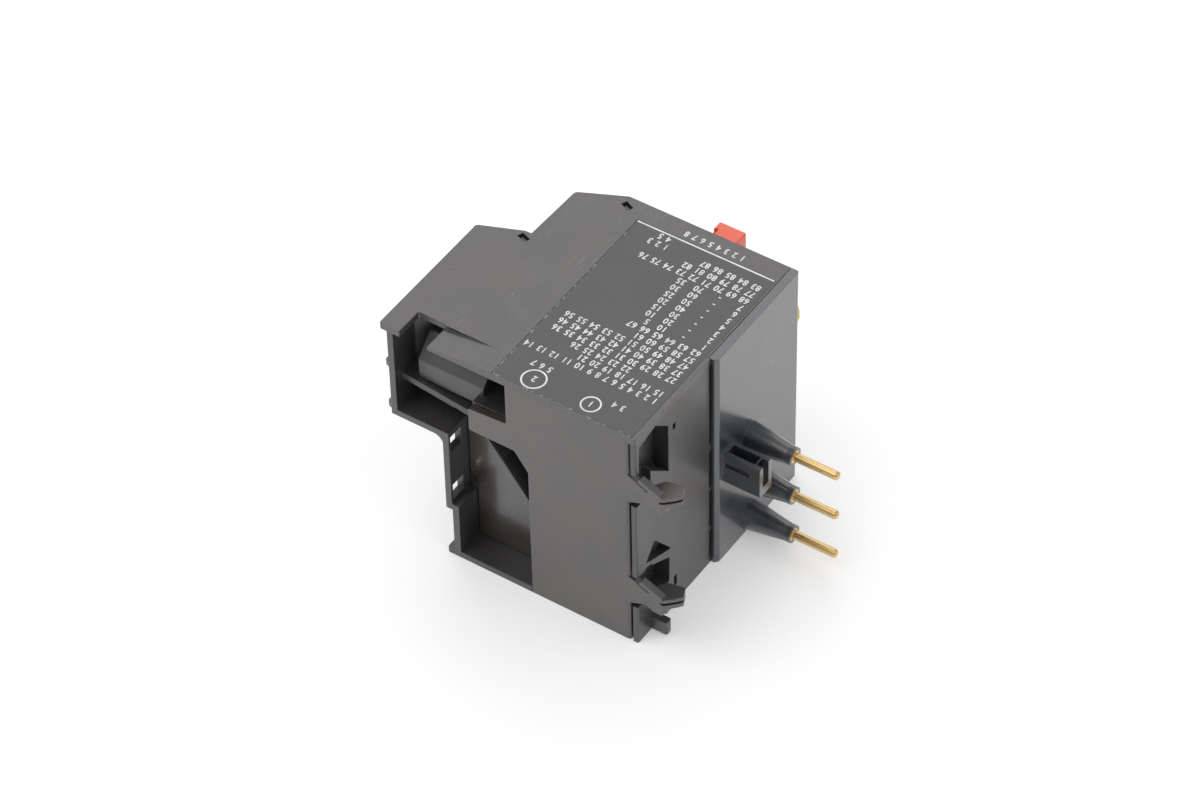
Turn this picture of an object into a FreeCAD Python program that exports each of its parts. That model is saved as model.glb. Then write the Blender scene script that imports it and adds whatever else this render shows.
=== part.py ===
import FreeCAD, Part
import math
import os

# Thermal overload relay for direct mounting under a small contactor, lying on its side.
# Working datum: the rear corner of the lower side face, at the contactor end.
# X runs towards the contactor (pins), Y from the back to the front (dial side),
# Z across the width. Every size is in millimetres. The finished pieces are moved at the
# end so that the origin is the centre of the bounding box's bottom face.

# ---- Housing -------------------------------------------------------------------------
WIDTH = 45.0                # frame width, over both side faces
DEPTH = 44.3                # back to front face
CONTACTOR_FACE_X = 1.3      # rear part of the contactor-side wall
CARRIER_FACE_X = 2.45       # front part of that wall, the face of the pin carrier
CARRIER_STEP_Y = 20.8       # where the wall steps out to the pin carrier
WALL = 1.2                  # moulded wall
RIB = 1.0                   # partition between poles
COVER_T = 1.2               # side cover and front cover plates
EDGE_R = 0.35               # soft outer edges of the moulded plates
LOAD_WIDTH = 26.0           # width of the block with the three load terminals
AUX_END_X = -44.4           # end face of the auxiliary terminals
LOAD_END_X = AUX_END_X + 9.6        # end face of the load terminals
RIB_OUT = 1.2               # how far the terminal ribs stand out from the end faces
FIT_GAP = 0.1               # gap between moulded pieces that butt together
RUN_GAP = 0.05              # radial running clearance of shafts and screws
FREE_GAP = 0.3              # clearance of moving pieces that pass each other

# ---- Front steps of the terminal blocks, seen from the side ----------------------------
FRONT_TOP_X = AUX_END_X + 15.4      # the front face ends, the upper auxiliary deck starts
UPPER_DECK_Y = DEPTH - 3.7          # low edge of the upper auxiliary deck
UPPER_DECK_X = AUX_END_X + 7.6      # its end
LOWER_DECK_Y = DEPTH - 15.3         # top edge of the lower auxiliary deck
LOWER_DECK_END_Y = DEPTH - 18.0     # its low edge
LOAD_DECK_X = LOAD_END_X + 13.2     # where the load deck starts
LOAD_DECK_Y = DEPTH - 7.5           # its top edge
LOAD_DECK_END_Y = DEPTH - 9.9       # its low edge

# ---- Rear of the housing ---------------------------------------------------------------
LATCH_PLATE_X = -18.6       # free edge of the rear latch plate
LATCH_PLATE_T = 1.2
LATCH_GAP = 0.4             # open gap between the plate and the contactor-side wall
LATCH_TAB_X = -29.5         # end of the plate's tab between the rear pockets
LATCH_TAB_Z = LOAD_WIDTH + 4.5      # lower edge of that tab
LATCH_TAB_TOP_Z = LOAD_WIDTH + 9.6  # its upper edge
UPPER_POCKET_X = -22.4      # rear pocket behind the auxiliary terminals ends here
UPPER_POCKET_Y = 9.5        # its depth
LOWER_POCKET_Y = 19.0       # depth of the rear pocket behind the load terminals
COVER_NOTCH = (AUX_END_X + 2.5, AUX_END_X + 7.6)    # notch in the side cover, along X
COVER_NOTCH_Y = 5.2         # its depth
PANEL_END_X = -27.0         # the sunk panel beside the notch runs out here
PANEL_DROP = 0.8            # its depth at the notch
LABEL_X = (-25.0, 0.5)      # seat of the label in the side cover
LABEL_Y = (0.3, DEPTH - 3.7)
LABEL_SEAT = 0.12
RAMP_X = -25.7              # the ramp in the lower pocket starts under the tab here
RAMP_END_Z = LOAD_WIDTH - 5.3       # and reaches the plate's free edge at this height
RAMP_SLOPE = 0.8            # depth it gains for each millimetre away from that edge
SHELF_Y = 3.0               # the shelf across the upper pocket starts this deep
HOLLOW_Y = 9.0              # depth of the hollow between the ramp and the plate
STEP_Z = 10.3               # the load end face is set back below this height
STEP_IN = 1.3               # by this much
STEP_Y = 8.0                # as far forward as this
WINDOW_Y = (0.5, 3.3)       # windows through the load end wall, near its rear edge
WINDOW_H = 3.2
WINDOW_SITES = (LOAD_WIDTH - 1.6, LOAD_WIDTH - 12.2)    # their centre heights

# ---- Poles: pins, bimetals, load terminals ----------------------------------------------
POLES = 3
FIRST_POLE_Z = WALL + 2.3   # centre of the first pin above the lower side face
POLE_PITCH = (LOAD_WIDTH - FIRST_POLE_Z - 0.5) / (POLES - 0.5)
PIN_Y = 30.0
PIN_R = 0.75
PIN_TIP_X = 19.0
PIN_TIP_R = 0.55            # rounding of the pin's end
PIN_SHOULDER = 0.35         # the pin is this much thicker inside its boss
SEAT_GAP = 0.02             # radial gap of pieces pressed into plastic
BOSS_END_X = 11.0           # end of the insulating boss round each pin
BOSS_END_R = 1.55
BOSS_ROOT_Y = 5.0           # size of the boss at its root, along Y
BOSS_ROOT_Z = 5.8           # and along Z
BOSS_SLANT = 0.5            # root centre below the pin's axis
BIMETAL_T = 0.8
BIMETAL_W = 4.4
BIMETAL_X = -10.2
BIMETAL_FOOT_Y = 3.4
BIMETAL_TIP_Y = DEPTH - 7.3
BIMETAL_PIVOT_Y = 5.0
WINDING_TURNS = 9
WINDING_WIRE = 0.9
WINDING_LENGTH = DEPTH - 24.3
SLEEVE_T = 0.5

# ---- Screw terminals: load (M3.5) and auxiliary (M3) -------------------------------------
LOAD_SCREW_X = LOAD_END_X + 6.4
LOAD_SCREW_R = 1.75
LOAD_HEAD_R = 3.0
LOAD_HEAD_H = 2.4
LOAD_BAR_Y = DEPTH - 18.3   # underside of the terminal bar
LOAD_OPENING = 3.2          # free height between bar and clamp, open
LOAD_TRAVEL = 2.4
LOAD_THREAD_PITCH = 0.6
AUX_COLUMNS = 2
AUX_PITCH = (WIDTH - COVER_T + 0.2 - LOAD_WIDTH) / AUX_COLUMNS
AUX_FIRST_Z = LOAD_WIDTH + 0.8 + AUX_PITCH / 2.0    # centre of the first auxiliary column
UPPER_SCREW_X = UPPER_DECK_X + 3.6
LOWER_SCREW_X = AUX_END_X + 3.7
AUX_SCREW_R = 1.5
AUX_HEAD_R = 2.2
AUX_HEAD_H = 1.8
UPPER_BAR_Y = DEPTH - 12.7
LOWER_BAR_Y = DEPTH - 27.1
AUX_OPENING = 2.8
AUX_TRAVEL = 2.0
AUX_THREAD_PITCH = 0.5
BAR_T = 1.0
CLAMP_T = 0.9
CLAMP_LIP = 0.6             # turned-down side lips of a clamp plate
CLAMP_MARGIN = 0.1          # clamp plate past the screw's head
WIRE_ENTRY_H = 4.4          # height of a wire entry in the end face
SLOT_W = 0.8                # screwdriver slot
SLOT_H = 1.1

# ---- Controls on the front ---------------------------------------------------------------
DIAL_X = -4.4
DIAL_Z = LOAD_WIDTH + 6.0
DIAL_R = 5.0
DIAL_FRONT_Y = DEPTH + 3.7
DIAL_SHAFT_R = 1.8
CAM_R = 2.2                 # smallest radius of the snail cam
CAM_RISE = 1.2              # rise of the cam over its working turn
CAM_T = 1.6
STOP_X = -13.3
STOP_Z = WIDTH - 5.5
STOP_W = 5.0
STOP_FRONT_Y = DEPTH + 5.7
STOP_TRAVEL = 1.6
RESET_X = -17.8
RESET_Z = LOAD_WIDTH + 5.2
RESET_R = 2.7
RESET_FRONT_Y = DEPTH + 2.3
RESET_TRAVEL = 1.8
SPRING_WIRE = 0.35
FLAG_X = RESET_X - 4.2
FLAG_Z = (LOAD_WIDTH + STOP_Z + 5.1) / 2.0

# ---- Trip mechanism ------------------------------------------------------------------------
TRIP_TRAVEL = 1.1           # travel of the sliders along Z
SLIDER_T = 0.9
SLIDER_W = 7.0
SLIDER_Y = DEPTH - 6.6      # underside of the trip slider
SLIDER_END_Z = LOAD_WIDTH + 4.3
COMP_PIVOT_Y = 24.0
COMP_PIVOT_Z = LOAD_WIDTH + 5.0
COMP_ARM_Z = LOAD_WIDTH + 10.0
LATCH_PIVOT_Z = WIDTH - 4.0
PIVOT_R = 0.8
CARRIER_TRAVEL = 1.2
LEAF_ROOT_X = FRONT_TOP_X + 4.4
LEAF_TIP_X = -11.2
LEAF_T = 0.3
LEAF_W = 3.6
LEAF_Y = DEPTH - 17.9
CONTACT_R = 1.1
CONTACT_H = 0.6
CONTACT_X = -18.4

# ---- Details of plates, hooks and guides ----------------------------------------------------
CARRIER_T = 1.5             # plate of the pin carrier
TONGUE_T = 0.9              # tongue behind it that centres it in the base
POCKET_DEPTH = 3.0          # pockets behind the spring hooks
POCKET_END_Y = 11.6
POCKET_SLOT_Y = 10.6        # slots beside the two pockets
POCKET_SLOT_H = 1.2
SNAP_W = 1.9                # snap windows of the side cover
SNAP_H = 1.1
SNAP_SITES = ((FRONT_TOP_X + 0.9, DEPTH - 2.0, -25.0), (UPPER_DECK_X - 0.9, LOWER_DECK_Y - 1.4, -20.0))
PEG_R = 0.7
PEG_H = 2.0
PEG_SITES = ((-26.0, 7.4), (-20.4, 3.6), (AUX_END_X + 3.5, 12.0))
HOOK_SITES = (WIDTH - 11.1, 11.4)   # centre heights of the two spring hooks
HOOK_ARM_X = 3.0            # where the hook's head starts
HOOK_TIP_X = 7.6
PRONG_Y = 22.2
PRONG_W = 3.4
PRONG_Z = FIRST_POLE_Z + 1.5 * POLE_PITCH + 0.9      # above the middle pin
PRONG_H = 6.2
PRONG_END_X = 9.4
DIAL_SEAT = 0.8             # depth of the dial's recess in the front cover
DIAL_FLUTES = 20
DIAL_TURN = 130.0           # turn of the dial to each side of its rest, in degrees
GUIDE_T = 1.0               # floor of the button guides and the dial's bearing
STEM_R = 1.2
STOP_SHELF_Y = DEPTH - 8.1
STOP_STEM_Y = DEPTH - 15.3
SPRING_TURNS = 6
SPRING_SIDES = 10           # straight stretches in one turn of a spring
FLAG_W = 2.6
FLAG_H = 2.0
FLAG_ARM_Y = DEPTH - 11.4
NC_COLUMN = 1
COMP_X = (-8.4, -3.0)       # width of the compensation lever and of the latch
LATCH_Y = COMP_PIVOT_Y - 2.0
LEVER_Z = LOAD_WIDTH + 2.3
SETTING_PIVOT = (DIAL_X - 3.2, DIAL_Z + 4.5)
SETTING_FOOT_R = 0.8

V = FreeCAD.Vector
COVER_Z = WIDTH - COVER_T
FRONT_PLATE_Y = DEPTH - COVER_T
CHAMBER_X = LATCH_PLATE_X + WALL
REAR_WALL_Y = LATCH_PLATE_T + FIT_GAP
POCKET_BACK_X = CONTACTOR_FACE_X - POCKET_DEPTH - RIB
AUX_TIP_X = AUX_END_X - RIB_OUT
WINDING_Y = BIMETAL_PIVOT_Y + 5.0
WINDING_END_Y = WINDING_Y + WINDING_LENGTH
LEVER_Y = SLIDER_Y + 2 * SLIDER_T + FREE_GAP
LEVER_T = 0.8
CAM_Y = FRONT_PLATE_Y - GUIDE_T - 0.3 - CAM_T
CARRIER_FOOT_Y = LEAF_Y + LEAF_T + 0.1
LEAF_PIVOT_X = LEAF_ROOT_X - 0.45
LEAF_TURN = CARRIER_TRAVEL / (LEAF_TIP_X - 0.3 - LEAF_PIVOT_X)
CARRIER_Z = (LOAD_WIDTH + WALL - 0.4 + FREE_GAP, COVER_Z - FREE_GAP)
ORIGIN_SHIFT = FreeCAD.Vector(-(AUX_TIP_X + PIN_TIP_X) / 2.0, -STOP_FRONT_Y / 2.0, 0.0)


def pole_z(pole):
    """Height of a pole's centre; pole counts from 0."""
    return FIRST_POLE_Z + pole * POLE_PITCH


def aux_z(column):
    return AUX_FIRST_Z + column * AUX_PITCH


# ---- Shape helpers -------------------------------------------------------------------------
def block(x_span, y_span, z_span):
    """Box from (low, high) pairs along X, Y and Z."""
    size = [high - low for low, high in (x_span, y_span, z_span)]
    return Part.makeBox(size[0], size[1], size[2], V(x_span[0], y_span[0], z_span[0]))


def span(centre, size):
    return (centre - size / 2.0, centre + size / 2.0)


def rounded_wire(corners, place):
    """Closed wire through (u, v, radius) corners; place maps (u, v) to a 3-D point."""
    edges = []
    starts = []
    ends = []
    middles = []
    count = len(corners)
    for i in range(count):
        u, v, radius = corners[i]
        prev_u, prev_v = corners[i - 1][0], corners[i - 1][1]
        next_u, next_v = corners[(i + 1) % count][0], corners[(i + 1) % count][1]
        here = V(u, v, 0)
        back = (V(prev_u, prev_v, 0) - here).normalize()
        ahead = (V(next_u, next_v, 0) - here).normalize()
        if radius <= 0:
            starts.append(here)
            ends.append(here)
            middles.append(None)
            continue
        half = back.getAngle(ahead) / 2.0
        reach = radius / math.tan(half)
        bisector = (back + ahead).normalize()
        centre = here + bisector * (radius / math.sin(half))
        starts.append(here + back * reach)
        ends.append(here + ahead * reach)
        middles.append(centre - bisector * radius)
    for i in range(count):
        if middles[i] is not None:
            arc = Part.Arc(place(starts[i]), place(middles[i]), place(ends[i]))
            edges.append(arc.toShape())
        following = (i + 1) % count
        if ends[i].distanceToPoint(starts[following]) > 1e-6:
            edges.append(Part.LineSegment(place(ends[i]), place(starts[following])).toShape())
    return Part.Wire(edges)


def with_radius(points, radius=0.0):
    return [p if len(p) == 3 else (p[0], p[1], radius) for p in points]


def prism_z(points, z_span, radius=0.0):
    """Outline in XY, given as (x, y) or (x, y, corner radius), extruded along Z."""
    wire = rounded_wire(with_radius(points, radius), lambda p: V(p.x, p.y, z_span[0]))
    return Part.Face(wire).extrude(V(0, 0, z_span[1] - z_span[0]))


def prism_y(points, y_span, radius=0.0):
    """Outline in XZ, extruded along Y."""
    wire = rounded_wire(with_radius(points, radius), lambda p: V(p.x, y_span[0], p.y))
    return Part.Face(wire).extrude(V(0, y_span[1] - y_span[0], 0))


def prism_x(points, x_span, radius=0.0):
    """Outline in YZ, extruded along X."""
    wire = rounded_wire(with_radius(points, radius), lambda p: V(x_span[0], p.x, p.y))
    return Part.Face(wire).extrude(V(x_span[1] - x_span[0], 0, 0))


def rectangle(u_span, v_span):
    return [(u_span[0], v_span[0]), (u_span[1], v_span[0]),
            (u_span[1], v_span[1]), (u_span[0], v_span[1])]


def rod(radius, start, direction, length):
    return Part.makeCylinder(radius, length, start, direction)


def rod_x(radius, x_span, y, z):
    return rod(radius, V(x_span[0], y, z), V(1, 0, 0), x_span[1] - x_span[0])


def rod_y(radius, y_span, x, z):
    return rod(radius, V(x, y_span[0], z), V(0, 1, 0), y_span[1] - y_span[0])


def rod_z(radius, z_span, x, y):
    return rod(radius, V(x, y, z_span[0]), V(0, 0, 1), z_span[1] - z_span[0])


def fuse(pieces):
    return pieces[0].multiFuse(pieces[1:]).removeSplitter() if len(pieces) > 1 else pieces[0]


def soften(shape, radius, wanted):
    """Fillet the edges whose centre passes the test wanted(point, edge)."""
    edges = [e for e in shape.Edges if wanted(e.CenterOfMass, e)]
    return shape.makeFillet(radius, edges) if edges else shape


# ---- Outlines ------------------------------------------------------------------------------
def aux_profile(inset=0.0):
    """Side outline of the full-depth block with the two auxiliary decks."""
    end = AUX_END_X + inset
    return [
        (CONTACTOR_FACE_X - inset, inset, 0.3),
        (CONTACTOR_FACE_X - inset, DEPTH - inset, 0.3),
        (FRONT_TOP_X, DEPTH - inset, 0.8),
        (UPPER_DECK_X + inset, UPPER_DECK_Y - inset, 0.9),
        (UPPER_DECK_X - 0.4 + inset, LOWER_DECK_Y - inset, 0.3),
        (UPPER_DECK_X - 1.5, LOWER_DECK_Y - inset, 0.3),
        (end, LOWER_DECK_END_Y - inset, 0.6),
        (end, inset, 0.2),
    ]


def load_profile():
    """Side outline of the block with the three load terminals."""
    return [
        (CONTACTOR_FACE_X, 0.0, 0.3),
        (CONTACTOR_FACE_X, DEPTH, 0.3),
        (LOAD_DECK_X, DEPTH, 0.6),
        (LOAD_DECK_X - 0.3, LOAD_DECK_Y, 0.3),
        (LOAD_END_X, LOAD_DECK_END_Y, 0.6),
        (LOAD_END_X, 0.0, 0.2),
    ]


# ---- Housing base ---------------------------------------------------------------------------
def housing_base():
    """Moulded base: three pole chambers, the mechanism chamber and the terminal blocks."""
    load = prism_z(load_profile(), (0.0, LOAD_WIDTH))
    aux = prism_z(aux_profile(), (LOAD_WIDTH, COVER_Z))
    body = load.fuse(aux).removeSplitter()
    body = soften(body, 1.5, lambda c, e: abs(c.x - LOAD_END_X) < 0.01
                  and abs(c.z - LOAD_WIDTH) < 0.01)

    solids = [body]
    # Ribs that stand out between the terminals on both end faces.
    for boundary in range(AUX_COLUMNS):
        z = LOAD_WIDTH + 0.4 + boundary * AUX_PITCH
        rib = [(AUX_END_X + WALL, 0.0), (AUX_END_X + WALL, LOWER_DECK_END_Y),
               (AUX_TIP_X, LOWER_DECK_END_Y - 0.3, 0.5), (AUX_TIP_X, 0.9, 0.5)]
        solids.append(prism_z(rib, span(z + RIB / 2.0, RIB)))
    foot = prism_z([(CONTACTOR_FACE_X - WALL, 3.2), (CONTACTOR_FACE_X + 3.2, 3.2, 0.4),
                    (CONTACTOR_FACE_X + 3.2, 4.6, 0.4), (CONTACTOR_FACE_X - WALL, 4.6)], (0.8, 3.4))
    solids.append(foot)
    for boundary in range(POLES):
        z = pole_z(boundary) - POLE_PITCH / 2.0 if boundary else RIB / 2.0
        rib = [(LOAD_END_X + WALL, LOWER_POCKET_Y), (LOAD_END_X + WALL, LOAD_DECK_END_Y),
               (LOAD_END_X - RIB_OUT / 2.0, LOAD_DECK_END_Y - 0.3, 0.4),
               (LOAD_END_X - RIB_OUT / 2.0, LOWER_POCKET_Y + 0.9, 0.4)]
        solids.append(prism_z(rib, span(z, RIB)))
    body = fuse(solids)

    tools = []
    # Seat of the rear latch plate, over the plate and its tab.
    tools.append(prism_y(latch_plate_outline(FIT_GAP, LATCH_GAP), (-1.0, REAR_WALL_Y)))
    # Seats of the pin carrier and of the front cover.
    seat_x = CARRIER_FACE_X - CARRIER_T - TONGUE_T - FIT_GAP
    tools.append(block((seat_x, 5.0), (CARRIER_STEP_Y - FIT_GAP, DEPTH + 1), (-1, WIDTH)))
    tools.append(block((LOAD_DECK_X + WALL, 5.0), (FRONT_PLATE_Y - FIT_GAP, DEPTH + 1), (-1, WIDTH)))
    tools.append(block((FRONT_TOP_X + 0.4, 5.0), (FRONT_PLATE_Y - FIT_GAP, DEPTH + 1),
                       (LOAD_WIDTH + WALL, WIDTH)))
    # Pole chambers.
    for pole in range(POLES):
        low = WALL if pole == 0 else pole_z(pole) - POLE_PITCH / 2.0 + RIB / 2.0
        high = pole_z(pole) + POLE_PITCH / 2.0 - RIB / 2.0
        tools.append(prism_z(
            [(CHAMBER_X, REAR_WALL_Y + WALL, 1.0), (POCKET_BACK_X, REAR_WALL_Y + WALL, 1.0),
             (POCKET_BACK_X, POCKET_END_Y, 0.6), (CONTACTOR_FACE_X - WALL, POCKET_END_Y + 2.0, 0.6),
             (CONTACTOR_FACE_X - WALL, CARRIER_STEP_Y - 1.0), (2.0, CARRIER_STEP_Y - FIT_GAP),
             (2.0, DEPTH), (CHAMBER_X, DEPTH)], (low, high)))
    # Mechanism chamber, closed by the side cover.
    tools.append(prism_z(
        [(LEAF_ROOT_X - 3.0, REAR_WALL_Y + UPPER_POCKET_Y, 0.8),
         (CHAMBER_X, REAR_WALL_Y + UPPER_POCKET_Y, 0.0),
         (CHAMBER_X, REAR_WALL_Y + WALL, 0.8),
         (POCKET_BACK_X, REAR_WALL_Y + WALL, 1.0),
         (POCKET_BACK_X, POCKET_END_Y, 0.6), (CONTACTOR_FACE_X - WALL, POCKET_END_Y + 2.0, 0.6),
         (CONTACTOR_FACE_X - WALL, CARRIER_STEP_Y - 1.0), (2.0, CARRIER_STEP_Y - FIT_GAP),
         (2.0, DEPTH), (LEAF_ROOT_X - 3.0, DEPTH)], (LOAD_WIDTH + WALL - 0.4, WIDTH)))
    # Slot for the sliders through the pole partitions.
    tools.append(block(span(BIMETAL_X, SLIDER_W + 2 * FREE_GAP),
                       (SLIDER_Y - FREE_GAP, SLIDER_Y + 2 * SLIDER_T + 3 * FREE_GAP),
                       (WALL, LOAD_WIDTH + WALL)))
    body = body.cut(tools)
    body = body.cut(terminal_cavities() + rear_pockets() + contactor_side_pockets())
    return body.removeSplitter()


def terminal_cavities():
    """Clamp rooms, wire entries, screwdriver wells and bar slots of every terminal."""
    tools = []
    for site in load_sites() + aux_sites():
        tools.extend(site.cavities())
    return tools


def contactor_side_pockets():
    """Room behind the spring hooks, and small recesses, in the rear part of the wall."""
    face = CONTACTOR_FACE_X + 1.0
    floor_x = CONTACTOR_FACE_X - POCKET_DEPTH
    upper, lower = HOOK_SITES
    tools = [prism_x([(0.9, COVER_Z - 1.2, 0.3), (5.5, COVER_Z - 0.2, 0.3), (9.0, WIDTH - 4.4, 0.6),
                      (9.0, upper - 3.1), (3.4, upper + 1.8), (0.9, upper + 2.2)], (floor_x, face)),
             prism_x([(2.3, lower + 3.8), (9.0, lower + 0.2), (8.9, lower - 5.2, 0.3),
                      (2.6, lower - 5.2, 0.3)], (floor_x, face)),
             prism_x([(4.8, lower + 7.8, 0.2), (9.6, lower + 1.7, 0.2), (2.4, lower + 4.6, 0.2)],
                     (floor_x + 1.4, face))]
    # Each arm passes through the strip of wall beside the latch plate.
    for z in HOOK_SITES:
        tools.append(block((-0.5, face), (-1.0, 4.0), (z - 3.4, z + 3.4)))
    for z, size in ((upper + 5.3, POCKET_SLOT_H), (lower - 6.5, 1.8 * POCKET_SLOT_H)):
        tools.append(block((floor_x + 1.6, face), span(POCKET_SLOT_Y, 0.8), span(z, size)))
    return tools


def rear_pockets():
    """Open pockets in the back of the terminal blocks, with rib, shelf and ramp left standing."""
    left = AUX_END_X + WALL
    deep = UPPER_POCKET_Y + 1.0
    upper = [(left, -1.0), (UPPER_POCKET_X, -1.0), (UPPER_POCKET_X, UPPER_POCKET_Y),
             (left + 4.0, UPPER_POCKET_Y, 1.0), (left, 5.5, 0.6)]
    room = prism_z(upper, (LOAD_WIDTH + WALL, COVER_Z + 1.0))
    shelf = prism_x([(SHELF_Y, LATCH_TAB_TOP_Z - 2.2), (deep, LATCH_TAB_TOP_Z - 2.2),
                     (deep, COVER_Z - 3.0), (SHELF_Y + 3.4, COVER_Z - 3.0, 0.8),
                     (SHELF_Y, LATCH_TAB_TOP_Z + 1.6, 0.8)], (left + 2.4, LATCH_TAB_X + 0.9))
    rib = prism_y([(left - 0.5, LATCH_TAB_TOP_Z - 1.9), (LATCH_TAB_X + 0.5, LATCH_TAB_Z + 1.3),
                   (LATCH_TAB_X + 0.5, LATCH_TAB_Z + 0.1), (left - 0.5, LATCH_TAB_TOP_Z - 3.1)],
                  (SHELF_Y - 0.9, deep))
    tab_back = prism_y(rectangle((LATCH_TAB_X, UPPER_POCKET_X + 1.0),
                                 (LATCH_TAB_Z, LATCH_TAB_TOP_Z)), (REAR_WALL_Y, deep))
    tools = [room.cut([shelf, rib, tab_back])]
    # Behind the load terminals: open towards the upper pocket below its rib.
    left = LOAD_END_X + WALL
    low = prism_y([(left + STEP_IN, WALL), (LATCH_PLATE_X, WALL), (LATCH_PLATE_X, LOAD_WIDTH - 0.4),
                   (left, LOAD_WIDTH - 0.4), (left, STEP_Z + WALL), (left + STEP_IN, STEP_Z + WALL)],
                  (-1.0, LOWER_POCKET_Y))
    high = prism_y([(left, LOAD_WIDTH - 1.0), (LATCH_PLATE_X, LOAD_WIDTH - 1.0),
                    (LATCH_PLATE_X, RAMP_END_Z + 6.3), (LATCH_PLATE_X - 2.5, LATCH_TAB_Z),
                    (LATCH_TAB_X, LATCH_TAB_Z), (left, LATCH_TAB_Z + 0.8)],
                   (-1.0, UPPER_POCKET_Y - 0.5))
    tools.append(low.fuse(high).cut(pocket_ramp()))
    tools.append(prism_y([(RAMP_X, LATCH_TAB_Z), (LATCH_PLATE_X - 2.5, LATCH_TAB_Z),
                          (LATCH_PLATE_X, RAMP_END_Z + 6.3), (LATCH_PLATE_X, RAMP_END_Z)],
                         (-1.0, HOLLOW_Y)))
    # Set-back of the end face, and the windows above it.
    tools.append(block((LOAD_END_X - RIB_OUT, LOAD_END_X + STEP_IN), (-1.0, STEP_Y), (WALL, STEP_Z)))
    for z in WINDOW_SITES:
        tools.append(block((LOAD_END_X - 1.0, left + 0.1), WINDOW_Y, span(z, WINDOW_H)))
    return tools


def pocket_ramp():
    """Wedge that falls away from the line between the tab's underside and the plate's edge."""
    start = V(RAMP_X, 0.0, LATCH_TAB_Z)
    along = (V(LATCH_PLATE_X, 0.0, RAMP_END_Z) - start).normalize()
    away = V(along.z, 0.0, -along.x)
    reach = LOWER_POCKET_Y / RAMP_SLOPE
    foot = start - along * WIDTH
    corners = [foot, foot + away * reach + V(0, LOWER_POCKET_Y, 0), foot + V(0, LOWER_POCKET_Y, 0)]
    face = Part.Face(Part.makePolygon(corners + corners[:1]))
    return face.extrude(along * (2 * WIDTH))


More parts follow.
